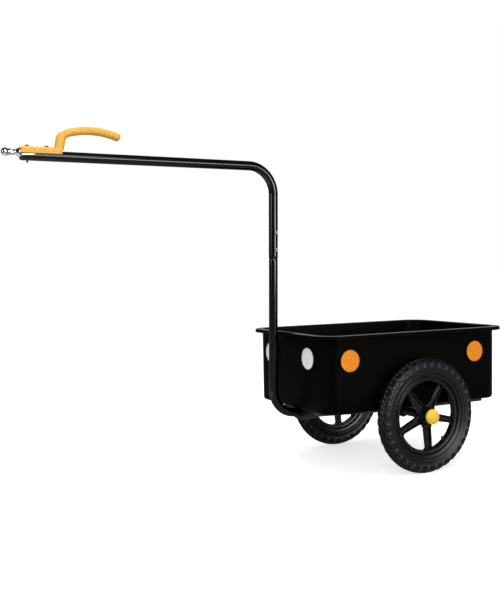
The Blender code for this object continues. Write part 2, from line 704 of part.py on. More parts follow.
def cross_bolt(name, parts, root, x, z, radius):
    """A bolt across the drawbar with its head on the right and its nut on the left."""
    reach = radius + SEAT_GAP
    length = 2 * reach + JOINT_NUT_HEIGHT + BOLT_SPARE
    bolt = bolt_shape(JOINT_BOLT_DIAMETER, length, JOINT_BOLT_FLATS, JOINT_BOLT_HEAD)
    make_piece(f"{name}_bolt", bolt, parts["zinc"], root, (x, -reach, z), (math.pi / 2, 0, 0))
    nut = nut_shape(JOINT_BOLT_DIAMETER, JOINT_BOLT_FLATS, JOINT_NUT_HEIGHT)
    make_piece(f"{name}_nut", nut, parts["zinc"], root, (x, reach, z), (-math.pi / 2, 0, 0))


def build_drawbar(parts, root, socket_hole):
    """The lower tube with its spigot, the upper tube over it and the bolts through both."""
    up = math.pi / 2 + DRAWBAR_LEAN
    side = DRAWBAR_BEND * math.cos(DRAWBAR_LEAN)
    rise = DRAWBAR_BEND * math.sin(DRAWBAR_LEAN)
    bore = LOWER_RADIUS - DRAWBAR_WALL
    spigot_bore = SPIGOT_RADIUS - DRAWBAR_WALL
    low_z = DRAWBAR_LOW_Z + DRAWBAR_BEND
    low_bend = bend((upright_x(low_z + rise) - side, low_z), DRAWBAR_BEND, 0.0, up)
    stations = [(DRAWBAR_REAR_X, DRAWBAR_LOW_Z, 0.0, LOWER_RADIUS, bore)]
    stations += [(x, z, heading, LOWER_RADIUS, bore) for x, z, heading in low_bend]
    neck = (LOWER_RADIUS * 2 + SPIGOT_RADIUS) / 3
    for distance, radius, inside in ((-SPIGOT_TAPER, LOWER_RADIUS, bore), (-SPIGOT_TAPER / 4, neck, spigot_bore),
                                     (-SEAT_GAP, SPIGOT_RADIUS, spigot_bore),
                                     (SPIGOT_LENGTH, SPIGOT_RADIUS, spigot_bore)):
        stations.append((*upright_point(distance), up, radius, inside))
    lower = make_piece("drawbar_lower_tube", bent_tube(stations), parts["drawbar"], root)
    combine(lower, socket_hole, "DIFFERENCE")

    bore = UPPER_RADIUS - DRAWBAR_WALL
    high_z = DRAWBAR_TOP_Z - DRAWBAR_BEND
    top_bend = bend((upright_x(high_z - rise) + side, high_z), DRAWBAR_BEND, up, -up)
    stations = [(*upright_point(0.0), up, UPPER_RADIUS, bore)]
    stations += [(x, z, heading, UPPER_RADIUS, bore) for x, z, heading in top_bend]
    stations += [(DRAWBAR_FRONT_X, DRAWBAR_TOP_Z, 0.0, UPPER_RADIUS, bore)]
    upper = make_piece("drawbar_upper_tube", bent_tube(stations), parts["drawbar"], root)

    for name, distance in zip(("joint_low", "joint_high"), JOINT_BOLT_HEIGHTS):
        x, z = upright_point(distance)
        hole = rod_shape(JOINT_BOLT_DIAMETER + 2 * HOLE_GAP, 4 * UPPER_RADIUS)
        tool = make_tool(f"{name}_hole", hole, parts["frame"], root, (x, 0, z), (math.pi / 2, 0, 0))
        combine(lower, tool, "DIFFERENCE")
        combine(upper, tool, "DIFFERENCE")
        cross_bolt(name, parts, root, x, z, UPPER_RADIUS)

    start = DRAWBAR_FRONT_X + SEAT_GAP
    slope = (UPPER_RADIUS + SCARF_START_DROP) / SCARF_LENGTH
    base = DRAWBAR_TOP_Z - SCARF_START_DROP
    beyond = 0.010
    over = DRAWBAR_TOP_Z + 2 * UPPER_RADIUS
    outline = [(start + beyond, base - slope * beyond), (start - SCARF_LENGTH, base + slope * SCARF_LENGTH),
               (start - SCARF_LENGTH, over), (start + beyond, over)]
    wedge = loft([[(x, y, z) for x, z in outline] for y in (-2 * UPPER_RADIUS, 2 * UPPER_RADIUS)])
    combine(upper, make_tool("scarf", wedge, parts["frame"], root), "DIFFERENCE")
    return upper


def build_hitch(parts, root):
    """The hitch: a shank in the drawbar, and above it a ball on a tapered stem with a cross boss."""
    shank = [
        (0.0, -SHANK_SETBACK),
        (SHANK_RADIUS, -SHANK_SETBACK),
        (SHANK_RADIUS, -SHANK_LENGTH),
        (0.0, -SHANK_LENGTH),
    ]
    along = (0, math.pi / 2, 0)
    hitch = make_piece("hitch_ball", turned(shank, ROUND_STEPS, closed=False), parts["chrome"], root,
                       (DRAWBAR_FRONT_X, 0, DRAWBAR_TOP_Z), along)

    groove = BALL_GROOVE_DIAMETER / 2
    behind = math.asin(groove / BALL_RADIUS)
    steps = ARC_STEPS + 2
    profile = [(0.0, BALL_REACH + BALL_RADIUS)]
    for i in range(1, steps + 1):
        angle = (math.pi - behind) * i / steps
        profile.append((BALL_RADIUS * math.sin(angle), BALL_REACH + BALL_RADIUS * math.cos(angle)))
    stem_front = BALL_REACH - math.sqrt(BALL_RADIUS ** 2 - groove ** 2)
    cone_rear = SADDLE_FRONT_REACH + SEAT_GAP
    profile += [
        (STEM_DIAMETER / 2, stem_front - RUNNING_GAP),
        (NECK_DIAMETER / 2, stem_front - STEM_LENGTH),
        (CONE_DIAMETER / 2, cone_rear + CONE_EDGE),
        (CONE_DIAMETER / 2, cone_rear),
        (ROOT_DIAMETER / 2, cone_rear),
        (ROOT_DIAMETER / 2, -ROOT_LENGTH),
        (0.0, -ROOT_LENGTH),
    ]
    raised = DRAWBAR_TOP_Z + HITCH_RISE
    head = turned(profile, ROUND_STEPS, closed=False)
    combine(hitch, make_tool("hitch_head", head, parts["chrome"], root, (DRAWBAR_FRONT_X, 0, raised), along),
            "UNION")
    boss = make_tool("hitch_boss", rod_shape(BOSS_DIAMETER, BOSS_LENGTH), parts["chrome"], root,
                     (DRAWBAR_FRONT_X + BOSS_REACH, 0, raised), (math.pi / 2, 0, 0))
    combine(hitch, boss, "UNION")
    return hitch


def grip_stations():
    """Centre line of the riser and the grip: (x, z, heading) from the saddle to the tip."""
    arc_z = GRIP_TOP_Z - GRIP_THICKNESS / 2 - GRIP_ARC_RADIUS
    start = GRIP_FRONT_ANGLE
    shoulder = (GRIP_ARC_X + GRIP_ARC_RADIUS * math.sin(start), arc_z + GRIP_ARC_RADIUS * math.cos(start))
    level = math.pi - start
    foot_z = DRAWBAR_TOP_Z + UPPER_RADIUS + SADDLE_TOP / 2
    lean = math.atan2(RISER_FOOT_X - shoulder[0] - GRIP_THICKNESS, shoulder[1] - foot_z)
    rise = math.pi / 2 + lean / 2
    turn = level - rise
    knee = ((shoulder[1] - foot_z) * GRIP_KNEE_SHARE) / math.cos((rise + level) / 2 - math.pi / 2)
    radius = knee / (2 * math.sin(turn / 2))
    centre = (shoulder[0] - radius * math.sin(level), shoulder[1] + radius * math.cos(level))
    stations = [(RISER_FOOT_X, foot_z, rise)]
    for i in range(ARC_STEPS + 1):
        heading = rise + turn * i / ARC_STEPS
        stations.append((centre[0] + radius * math.sin(heading), centre[1] - radius * math.cos(heading), heading))
    for i in range(1, ARC_STEPS + 1):
        angle = start + (GRIP_REAR_ANGLE - start) * i / ARC_STEPS
        stations.append((GRIP_ARC_X + GRIP_ARC_RADIUS * math.sin(angle),
                         arc_z + GRIP_ARC_RADIUS * math.cos(angle), math.pi - angle))
    return stations


def build_handle(parts, root, pierced):
    """The yellow handle: a saddle bolted over the drawbar and a grip that curls back."""
    half = SADDLE_HALF_WIDTH
    top = SADDLE_TOP_Z
    skirt = DRAWBAR_TOP_Z + SADDLE_SKIRT_RISE
    front = DRAWBAR_FRONT_X + SADDLE_FRONT_REACH
    rear = front - SADDLE_LENGTH
    outline = [(-half, skirt), (half, skirt), (half, top - SADDLE_EDGE), (half - SADDLE_EDGE, top),
               (SADDLE_EDGE - half, top), (-half, top - SADDLE_EDGE)]
    handle = make_piece("handle", plate_shape(outline, rear, front), parts["yellow"], root)

    rings = []
    stations = grip_stations()
    tip_x, tip_z, tip_heading = stations[-1]
    ends = [(GRIP_THICKNESS * share, size) for share, size in GRIP_TIP_RINGS]
    sections = [(x, z, heading, 1.0) for x, z, heading in stations]
    for ahead, size in ends:
        sections.append((tip_x + ahead * math.cos(tip_heading), tip_z + ahead * math.sin(tip_heading),
                         tip_heading, size))
    for x, z, heading, size in sections:
        side = Vector((-math.sin(heading), 0.0, math.cos(heading)))
        ring = []
        for i in range(SMALL_STEPS):
            angle = math.tau * i / SMALL_STEPS
            across = math.copysign(abs(math.cos(angle)) ** GRIP_ROUNDNESS, math.cos(angle))
            wide = math.copysign(abs(math.sin(angle)) ** GRIP_ROUNDNESS, math.sin(angle))
            ring.append(Vector((x, 0.0, z)) + side * (across * size * GRIP_THICKNESS / 2)
                        + Vector((0.0, wide * size * GRIP_WIDTH / 2, 0.0)))
        rings.append(ring)
    combine(handle, make_tool("grip", loft(rings), parts["yellow"], root), "UNION")
    bore = rod_shape(2 * (UPPER_RADIUS + SEAT_GAP), 4 * SADDLE_LENGTH, ROUND_STEPS)
    combine(handle, make_tool("saddle_bore", bore, parts["yellow"], root,
                              ((front + rear) / 2, 0, DRAWBAR_TOP_Z), (0, math.pi / 2, 0)), "DIFFERENCE")

    seat = top + SEAT_GAP
    for name, x, length in zip(("front", "rear"), HANDLE_BOLT_XS, HANDLE_BOLT_LENGTHS):
        hole = rod_shape(HANDLE_BOLT_DIAMETER + 2 * HOLE_GAP, 2 * (length + HOLE_GAP))
        tool = make_tool(f"handle_hole_{name}", hole, parts["frame"], root, (x, 0, seat))
        for piece in (handle, *pierced):
            combine(piece, tool, "DIFFERENCE")
        bolt = washer_bolt_shape(HANDLE_BOLT_DIAMETER, length, HANDLE_BOLT_FLATS, HANDLE_BOLT_HEAD,
                                 HANDLE_BOLT_FLANGE, WASHER_THICKNESS)
        make_piece(f"handle_bolt_{name}", bolt, parts["zinc"], root, (x, 0, seat))


def build_axle(parts, root):
    """The axle tube across the frame and the stub axle in each of its ends."""
    half = HUB_END_Y - RUNNING_GAP - STUB_SHOULDER - SEAT_GAP
    bore = AXLE_TUBE_RADIUS - AXLE_TUBE_WALL
    profile = [(AXLE_TUBE_RADIUS, -half), (AXLE_TUBE_RADIUS, half), (bore, half), (bore, -half)]
    make_piece("axle_tube", turned(profile, ROUND_STEPS), parts["frame"], root,
               (0, 0, AXLE_Z), (math.pi / 2, 0, 0))
    stack = RUNNING_GAP + SEAT_GAP * 2 + WASHER_THICKNESS + AXLE_NUT_HEIGHT
    spindle_end = HUB_LENGTH + stack + SPINDLE_SPARE
    plug = bore - SEAT_GAP
    profile = [
        (0.0, -STUB_SHOULDER - STUB_PLUG_LENGTH),
        (plug, -STUB_SHOULDER - STUB_PLUG_LENGTH),
        (plug, -STUB_SHOULDER),
        (AXLE_TUBE_RADIUS, -STUB_SHOULDER),
        (AXLE_TUBE_RADIUS, -STUB_SHOULDER / 2),
        (SPINDLE_RADIUS * 1.5, 0.0),
        (SPINDLE_RADIUS, 0.0),
        (SPINDLE_RADIUS, spindle_end - SPINDLE_RADIUS / 6),
        (SPINDLE_RADIUS * 5 / 6, spindle_end),
        (0.0, spindle_end),
    ]
    for side, sign in (("left", 1), ("right", -1)):
        make_piece(f"stub_axle_{side}", turned(profile, ROUND_STEPS, closed=False), parts["zinc"], root,
                   (0, sign * (HUB_END_Y - RUNNING_GAP), AXLE_Z), (-sign * math.pi / 2, 0, 0))


def rim_profile():
    """Closed rim section as (radius, height) points, from the outer lip round to the well."""
    lip = RIM_RADIUS
    half = RIM_HALF
    inner = RIM_INNER_DIAMETER / 2
    inner_half = RIM_INNER_WIDTH / 2
    well = BEAD_RADIUS - RIM_WELL_DEPTH
    side = [
        (well, half * 0.40),
        (BEAD_RADIUS, half * 0.50),
        (BEAD_RADIUS, half - RIM_LIP_WIDTH),
        (lip, half - RIM_LIP_WIDTH),
        (lip, half),
        (RIM_SHOULDER_DIAMETER / 2, half),
        (inner, inner_half),
    ]
    return side + [(radius, -height) for radius, height in reversed(side)]


def tyre_profile():
    """Closed tyre section: the outer skin over the crown, and the inner skin back."""
    crown = WHEEL_DIAMETER / 2
    half = TYRE_WIDTH / 2
    foot = RIM_HALF - RIM_LIP_WIDTH - SEAT_GAP
    heel = BEAD_RADIUS + SEAT_GAP
    reach = crown - RIM_RADIUS
    outer = [
        (heel, foot),
        (RIM_RADIUS + 2 * SEAT_GAP, foot),
        (RIM_RADIUS + reach * 0.18, half * 0.88),
        (RIM_RADIUS + reach * 0.48, half),
        (RIM_RADIUS + reach * 0.78, half * 0.84),
        (crown - reach * 0.05, half * 0.46),
    ]
    inner_crown = crown - TYRE_WALL
    inner = [
        (RIM_RADIUS + reach * 0.74, half * 0.76 - TYRE_WALL / 2),
        (RIM_RADIUS + reach * 0.46, half - TYRE_WALL),
        (heel, foot - TYRE_WALL),
    ]
    over = outer + [(crown, 0.0)] + [(radius, -height) for radius, height in reversed(outer)]
    back = [(radius, -height) for radius, height in reversed(inner)]
    return over + back + [(inner_crown, 0.0)] + inner


def spoke_shape(angle):
    """One spoke: a tapered channel from inside the hub to inside the rim."""
    along = Vector((math.cos(angle), math.sin(angle), 0.0))
    across = Vector((-math.sin(angle), math.cos(angle), 0.0))
    up = Vector((0.0, 0.0, 1.0))
    high = SPOKE_DEPTH / 2
    low = -SPOKE_DEPTH / 2
    web = high - SPOKE_CHANNEL_DEPTH
    rings = []
    for radius, width in ((HUB_DIAMETER / 2 * 0.86, SPOKE_ROOT_WIDTH),
                          (RIM_INNER_DIAMETER / 2 + RIM_WELL_DEPTH / 2, SPOKE_TIP_WIDTH)):
        half = width / 2
        edge = half - SPOKE_EDGE_WIDTH
        section = [(-half, low), (half, low), (half, high), (edge, high),
                   (edge, web), (-edge, web), (-edge, high), (-half, high)]
        rings.append([along * radius + across * t + up * h for t, h in section])
    return loft(rings)


def build_wheel(side, sign, parts, root):
    """One wheel with its tyre, tube, valve, bearings, nut and cap, about its own axis.

    Local Z points away from the tub, and the wheel's middle is at the origin.
    """
    axis = make_empty(f"wheel_axis_{side}", (0, sign * TRACK / 2, AXLE_Z), (-sign * math.pi / 2, 0, 0), root)
    angle = -sign * SPOKE_ANGLE
    seat = BEARING_OUTER_DIAMETER / 2 + SEAT_GAP
    bore = HUB_BORE_DIAMETER / 2
    hub = HUB_DIAMETER / 2
    seat_depth = HUB_HALF - BEARING_WIDTH - SEAT_GAP
    cap_inner = CAP_DIAMETER / 2 - CAP_WALL
    flange = cap_inner - SEAT_GAP
    step = HUB_HALF - CAP_GRIP - SEAT_GAP
    profile = [
        (seat, HUB_HALF), (flange, HUB_HALF), (flange, step), (hub + CAP_WALL, step - CAP_WALL),
        (hub, SPOKE_DEPTH / 2), (hub, -SPOKE_DEPTH / 2), (seat + SPOKE_EDGE_WIDTH, -HUB_HALF),
        (seat, -HUB_HALF), (seat, -seat_depth), (bore, -seat_depth), (bore, seat_depth), (seat, seat_depth),
    ]
    wheel = make_piece(f"wheel_{side}", turned(profile, ROUND_STEPS), parts["wheel"], axis)
    for i in range(SPOKE_COUNT):
        shape = spoke_shape(angle + math.tau * i / SPOKE_COUNT)
        combine(wheel, make_tool(f"spoke_{side}_{i + 1}", shape, parts["wheel"], axis), "UNION")
    rim = make_tool(f"rim_{side}", turned(rim_profile(), WHEEL_STEPS), parts["wheel"], axis)
    combine(wheel, rim, "UNION")
    make_piece(f"tyre_{side}", turned(tyre_profile(), WHEEL_STEPS), parts["tyre"], axis)

    tube_radius = TYRE_WIDTH / 2 - TYRE_WALL - SEAT_GAP * 8
    tube_middle = WHEEL_DIAMETER / 2 - TYRE_WALL - SEAT_GAP - tube_radius
    profile = []
    for radius in (tube_radius, tube_radius - TUBE_WALL):
        ring = [(tube_middle + radius * math.cos(math.tau * i / ARC_STEPS),
                 radius * math.sin(math.tau * i / ARC_STEPS)) for i in range(ARC_STEPS)]
        profile.append(ring)
    skin = turned(profile[0], WHEEL_STEPS // 2)
    tube = make_piece(f"inner_tube_{side}", skin, parts["rubber"], axis)
    hollow = make_tool(f"tube_air_{side}", turned(profile[1], WHEEL_STEPS // 2), parts["rubber"], axis)
    combine(tube, hollow, "DIFFERENCE")

    valve_angle = angle + sign * math.pi / SPOKE_COUNT
    direction = Vector((math.cos(valve_angle), math.sin(valve_angle), 0.0))
    turn = (0, math.pi / 2, valve_angle)
    outside = tube_middle - tube_radius + TUBE_WALL / 2
    inside = RIM_INNER_DIAMETER / 2 - VALVE_REACH
    stem = loft([
        circle(VALVE_CAP_DIAMETER / 2, -VALVE_CAP_LENGTH, SMALL_STEPS),
        circle(VALVE_CAP_DIAMETER / 2, 0.0, SMALL_STEPS),
        circle(VALVE_DIAMETER / 2, 0.0, SMALL_STEPS),
        circle(VALVE_DIAMETER / 2, outside - inside, SMALL_STEPS),
    ])
    make_piece(f"valve_{side}", stem, parts["rubber"], axis, direction * inside, turn)
    hole = rod_shape(VALVE_DIAMETER + 2 * HOLE_GAP, outside - inside + VALVE_CAP_LENGTH)
    tool = make_tool(f"valve_hole_{side}", hole, parts["rubber"], axis,
                     direction * ((outside + inside) / 2), turn)
    combine(wheel, tool, "DIFFERENCE")
    combine(tube, tool, "DIFFERENCE")

    ring_bore = SPINDLE_RADIUS + HOLE_GAP
    race = BEARING_OUTER_DIAMETER / 2
    profile = [(ring_bore, 0.0), (race, 0.0), (race, BEARING_WIDTH), (ring_bore, BEARING_WIDTH)]
    make_piece(f"bearing_outer_{side}", turned(profile, ROUND_STEPS), parts["bearing"], axis,
               (0, 0, HUB_HALF - BEARING_WIDTH))
    make_piece(f"bearing_inner_{side}", turned(profile, ROUND_STEPS), parts["bearing"], axis,
               (0, 0, -HUB_HALF))
    build_cap(side, parts, axis)

    washer = [(ring_bore, 0.0), (WASHER_DIAMETER / 2, 0.0),
              (WASHER_DIAMETER / 2, WASHER_THICKNESS), (ring_bore, WASHER_THICKNESS)]
    washer_y = TRACK / 2 + HUB_HALF + RUNNING_GAP
    outward = (-sign * math.pi / 2, 0, 0)
    make_piece(f"axle_washer_{side}", turned(washer, SMALL_STEPS), parts["zinc"], root,
               (0, sign * washer_y, AXLE_Z), outward)
    nut_y = washer_y + WASHER_THICKNESS + SEAT_GAP
    make_piece(f"axle_nut_{side}", nut_shape(SPINDLE_DIAMETER, AXLE_NUT_FLATS, AXLE_NUT_HEIGHT),
               parts["zinc"], root, (0, sign * nut_y, AXLE_Z), outward)


def build_cap(side, parts, axis):
    """The domed hub cap: a skirt that grips the hub, a rim and a low dome."""
    outer = CAP_DIAMETER / 2
    inner = outer - CAP_WALL
    foot = HUB_HALF - CAP_GRIP
    rim = HUB_HALF + CAP_STEP
    dome_foot = outer - CAP_WALL * 1.6
    steps = ARC_STEPS // 2

    def dome(radius, base, height):
        angles = [math.pi / 2 * i / steps for i in range(steps)]
        return [(radius * math.cos(a), base + height * math.sin(a)) for a in angles] + [(0.0, base + height)]
    skin = [(inner, foot), (outer, foot), (outer, rim - CAP_WALL / 2), (outer - CAP_WALL / 2, rim)]
    skin += dome(dome_foot, rim, CAP_DOME)
    under = dome(dome_foot - CAP_WALL, rim - CAP_WALL / 2, CAP_DOME - CAP_WALL / 2)
    profile = skin + list(reversed(under)) + [(inner, rim - CAP_WALL)]
    make_piece(f"hub_cap_{side}", turned(profile, ROUND_STEPS), parts["yellow"], axis)


def main():
    """Build the whole trailer under one empty."""
    clear_scene()
    parts = make_materials()
    root = make_empty("trailer", (-MIDDLE_X, 0, 0))
    build_tub(parts, root)
    build_tub_bolts(parts, root)
    build_reflectors(parts, root)
    build_rails(parts, root)
    build_hangers(parts, root)
    build_rear_member(parts, root)
    build_yokes(parts, root)
    socket_hole = build_socket(parts, root)
    upper = build_drawbar(parts, root, socket_hole)
    hitch = build_hitch(parts, root)
    build_handle(parts, root, (upper, hitch))
    build_axle(parts, root)
    for side, sign in (("left", 1), ("right", -1)):
        build_wheel(side, sign, parts, root)


main()
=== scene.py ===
"""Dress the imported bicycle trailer: its moulded, painted, plated and rubber surfaces and its stage.

Lengths are in metres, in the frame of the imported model: X forward, Y to the left, Z up. Each
piece is a surface of two parameters worked out with numpy, and takes its place and its main
sizes from the model's own nodes. A profile is a line of (radius, height) points, and a third
number at a corner of it is that corner's own radius.
"""

import math

import bmesh
import bpy
import numpy as np
from bpy.props import FloatProperty, FloatVectorProperty, IntProperty, PointerProperty
from mathutils import Matrix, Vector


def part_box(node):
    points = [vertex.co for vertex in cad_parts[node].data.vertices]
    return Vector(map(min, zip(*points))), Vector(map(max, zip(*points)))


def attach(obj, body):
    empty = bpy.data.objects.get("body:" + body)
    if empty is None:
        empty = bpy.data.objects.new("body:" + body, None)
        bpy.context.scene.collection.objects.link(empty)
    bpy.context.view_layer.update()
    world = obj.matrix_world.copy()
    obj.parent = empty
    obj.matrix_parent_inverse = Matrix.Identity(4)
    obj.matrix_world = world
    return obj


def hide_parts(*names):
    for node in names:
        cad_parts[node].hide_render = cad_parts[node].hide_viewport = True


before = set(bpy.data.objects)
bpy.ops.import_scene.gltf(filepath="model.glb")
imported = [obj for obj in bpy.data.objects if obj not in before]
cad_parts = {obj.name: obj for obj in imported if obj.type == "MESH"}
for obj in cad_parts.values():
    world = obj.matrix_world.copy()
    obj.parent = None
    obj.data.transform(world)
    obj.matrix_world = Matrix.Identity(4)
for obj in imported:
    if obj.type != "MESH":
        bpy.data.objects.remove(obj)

bl_info = {
    "name": "Bicycle Trailer Finish",
    "version": (1, 0, 0),
    "blender": (4, 5, 0),
    "location": "View3D > Sidebar > Trailer",
    "description": "Builds the finished surfaces of a bicycle trailer on its packed model",
    "category": "Object",
}

SIDES = (("left", 1.0), ("right", -1.0))
X_AXIS, Y_AXIS, Z_AXIS = np.eye(3)
QUARTER, TURN = math.pi / 2.0, math.pi * 2.0
SHARP_ANGLE = math.radians(32.0)
# Points nearer to each other than this become one.
WELD = 1.0e-7
# A corner whose half angle is nearer to a right angle than this runs straight on.
STRAIGHT = 1.0e-5
# The most of a leg that the arc at its corner takes up.
LEG_SHARE = 0.49
WHITE = (1.0, 1.0, 1.0, 1.0)


class Box:
    """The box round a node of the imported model."""

    def __init__(self, name):
        self.low, self.high = (np.array(corner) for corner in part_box(name))
        self.middle = (self.low + self.high) / 2.0
        self.size = self.high - self.low

    def face(self, axis):
        """Middle of the side that looks along the axis."""
        return self.middle + axis * abs(self.size @ axis) / 2.0


TUB = Box("tub")
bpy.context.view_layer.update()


# Shapes

def rounded(corners, steps=5, closed=False):
    """A line of (a, b, radius) corners in which each corner is an arc that touches both legs.

    The arc runs from one touching point to the other at an even angle about its centre, which
    lies on the corner's bisector. A corner where the line runs straight on stays a point.
    """
    spots = np.array([corner[:2] for corner in corners], float)
    line = []
    for i, corner in enumerate(corners):
        legs = np.array([spots[i - 1], spots[(i + 1) % len(spots)]]) - spots[i]
        lengths = np.linalg.norm(legs, axis=1)
        half = QUARTER
        if len(corner) > 2 and (closed or 0 < i < len(spots) - 1):
            back, ahead = legs / lengths[:, None]
            half = math.acos(float(np.clip(back @ ahead, -1.0, 1.0))) / 2.0
        if half > QUARTER - STRAIGHT:
            line.append(spots[i:i + 1])
            continue
        reach = min(corner[2] / math.tan(half), LEG_SHARE * lengths.min())
        middle = back + ahead
        centre = spots[i] + middle / np.linalg.norm(middle) * reach / math.cos(half)
        start, end = (spots[i] + leg * reach - centre for leg in (back, ahead))
        turn = math.pi - 2.0 * half
        share = np.linspace(0.0, 1.0, steps)[:, None]
        arc = (np.sin((1.0 - share) * turn) * start + np.sin(share * turn) * end) / math.sin(turn)
        line.append(centre + arc)
    return np.concatenate(line)


def distances(line):
    """How far along the line each of its points lies."""
    return np.concatenate([[0.0], np.cumsum(np.linalg.norm(np.diff(line, axis=0), axis=1))])


def resampled(line, count, closed=False):
    """The same line with points at an even distance along it."""
    if closed:
        line = np.concatenate([line, line[:1]])
    way = distances(line)
    at = np.linspace(0.0, way[-1], count, endpoint=not closed)
    return np.stack([np.interp(at, way, part) for part in line.T], axis=1)


def straight(start, end, count):
    """Points at even steps from start to end, both left out."""
    share = np.linspace(0.0, 1.0, count + 2)[1:-1, None]
    return np.asarray(start) + share * (np.asarray(end) - np.asarray(start))


def smooth_curve(points, count):
    """A curve through the points: between two of them it is the cubic whose slopes are the
    neighbours' mean differences."""
    before = np.concatenate([points[:1] * 2 - points[1:2], points[:-1]])
    after = np.concatenate([points[1:], points[-1:] * 2 - points[-2:-1]])
    slope = (after - before) / 2.0
    at = np.linspace(0.0, len(points) - 1.0, count)
    start = np.minimum(at.astype(int), len(points) - 2)
    t = (at - start)[:, None]
    p, q, m, n = points[start], points[start + 1], slope[start], slope[start + 1]
    return ((2 * t**3 - 3 * t**2 + 1) * p + (t**3 - 2 * t**2 + t) * m
            + (3 * t**2 - 2 * t**3) * q + (t**3 - t**2) * n)


def smooth_step(value, low, high):
    """0 below low, 1 above high and a cubic ease between them."""
    t = np.clip((value - low) / (high - low), 0.0, 1.0)
    return t * t * (3.0 - 2.0 * t)


def plateau(value, half, edge):
    """1 within half of zero, 0 beyond it, with a slope as wide as edge on its border."""
    return np.clip((half - np.abs(value)) / edge + 0.5, 0.0, 1.0)


def angles(count):
    """Even angles all the way round."""
    return np.linspace(0.0, TURN, count, endpoint=False)


def directions(count, axis, first=None):
    """Directions square to an axis: cos u * first + sin u * second, for u all the way round."""
    if first is None:
        first = X_AXIS if abs(axis[0]) < 0.5 else Z_AXIS
    u = angles(count)[:, None]
    return np.cos(u) * first + np.sin(u) * np.cross(axis, first)


def spun(profile, count, base, axis, first=None):
    """Turn (radius, height) points round an axis: base + radius * direction + height * axis. The
    points may be other ones for each direction."""
    out = directions(count, axis, first)[:, None]
    return base + profile[..., :1] * out + profile[..., 1:] * axis


def turned(profile, count, base, axis, closed=False, first=None):
    """The patch of a turned profile, which is closed or ends on the axis."""
    return spun(profile, count, base, axis, first), True, closed


def swept(path, headings, sections):
    """Carry (across, up) sections along an XZ path: path + across * Y + up * the direction
    square to the heading."""
    square = np.stack([-np.sin(headings), 0.0 * headings, np.cos(headings)], axis=1)
    return path[:, None] + sections[..., :1] * Y_AXIS + sections[..., 1:] * square[:, None]


def capped(grid):
    """The patch of a tube of rings, closed at both ends by a fan to the end ring's middle."""
    first, last = (np.repeat(ring.mean(axis=1, keepdims=True), grid.shape[1], axis=1)
                   for ring in (grid[:1], grid[-1:]))
    return np.concatenate([first, grid, last]), False, True


def hexagon(flats, levels, base, axis, count=48):
    """A hexagon's walls: at angle u the radius is the distance to the flat, flats / 2 divided by
    the cosine of the angle from the flat's middle, but never more than the level's own radius."""
    off = (angles(count) + math.pi / 6) % (math.pi / 3) - math.pi / 6
    levels = np.array(levels)
    radius = np.minimum(flats / 2.0 / np.cos(off), levels[:, :1])
    return base + radius[..., None] * directions(count, axis) + levels[:, 1:, None] * axis


def build_mesh(name, patches, attributes=None):
    """Join grids of points into one mesh. A patch is (points, closed along its rows, closed
    along its columns), and neighbouring points span four-sided faces."""
    places, faces, start = [], [], 0
    for points, wrap_rows, wrap_columns in patches:
        number = np.arange(points.size // 3).reshape(points.shape[:2]) + start
        start += number.size
        if wrap_rows:
            number = np.concatenate([number, number[:1]])
        if wrap_columns:
            number = np.concatenate([number, number[:, :1]], axis=1)
        quads = np.stack([number[:-1, :-1], number[1:, :-1], number[1:, 1:], number[:-1, 1:]], axis=-1)
        places.append(points.reshape(-1, 3))
        faces.append(quads.reshape(-1, 4))
    places, faces = np.concatenate(places), np.concatenate(faces)
    mesh = bpy.data.meshes.new(name)
    mesh.vertices.add(len(places))
    mesh.vertices.foreach_set("co", places.astype(np.float32).ravel())
    mesh.loops.add(faces.size)
    mesh.loops.foreach_set("vertex_index", faces.astype(np.int32).ravel())
    mesh.polygons.add(len(faces))
    mesh.polygons.foreach_set("loop_start", np.arange(0, faces.size, 4, dtype=np.int32))
    for label, values in (attributes or {}).items():
        kind, key = ("FLOAT", "value") if values.ndim == 2 else ("FLOAT_VECTOR", "vector")
        layer = mesh.attributes.new(label, kind, "POINT")
        layer.data.foreach_set(key, values.astype(np.float32).ravel())
    mesh.update(calc_edges=True)
    shape = bmesh.new()
    shape.from_mesh(mesh)
    bmesh.ops.remove_doubles(shape, verts=shape.verts, dist=WELD)
    bmesh.ops.dissolve_degenerate(shape, edges=shape.edges, dist=WELD)
    bmesh.ops.recalc_face_normals(shape, faces=shape.faces)
    shape.to_mesh(mesh)
    shape.free()
    mesh.shade_smooth()
    mesh.set_sharp_from_angle(angle=SHARP_ANGLE)
    return mesh


def add_piece(name, node, patches, material, body="chassis", attributes=None):
    """Make a piece from its patches, hang it on its body and let it stand for its node."""
    piece = bpy.data.objects.new(name, build_mesh(name, patches, attributes))
    bpy.context.scene.collection.objects.link(piece)
    piece.data.materials.append(material)
    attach(piece, body)
    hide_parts(node)


# Finishes

def place(tree, kind, output=0, options=None, **inputs):
    """Add a shader node, set its options and fill its sockets with values or terms. Returns the
    output as a term, or all outputs' terms by name where output is None."""
    item = tree.nodes.new("ShaderNode" + kind)
    for name, value in (options or {}).items():
        setattr(item, name, value)
    for name, value in inputs.items():
        socket = item.inputs[int(name[1:]) if name[1:].isdigit() else name.replace("_", " ")]
        if isinstance(value, Term):
            tree.links.new(value.socket, socket)
        else:
            socket.default_value = value
    if output is None:
        return {socket.name: Term(tree, socket) for socket in item.outputs}
    return Term(tree, item.outputs[output])


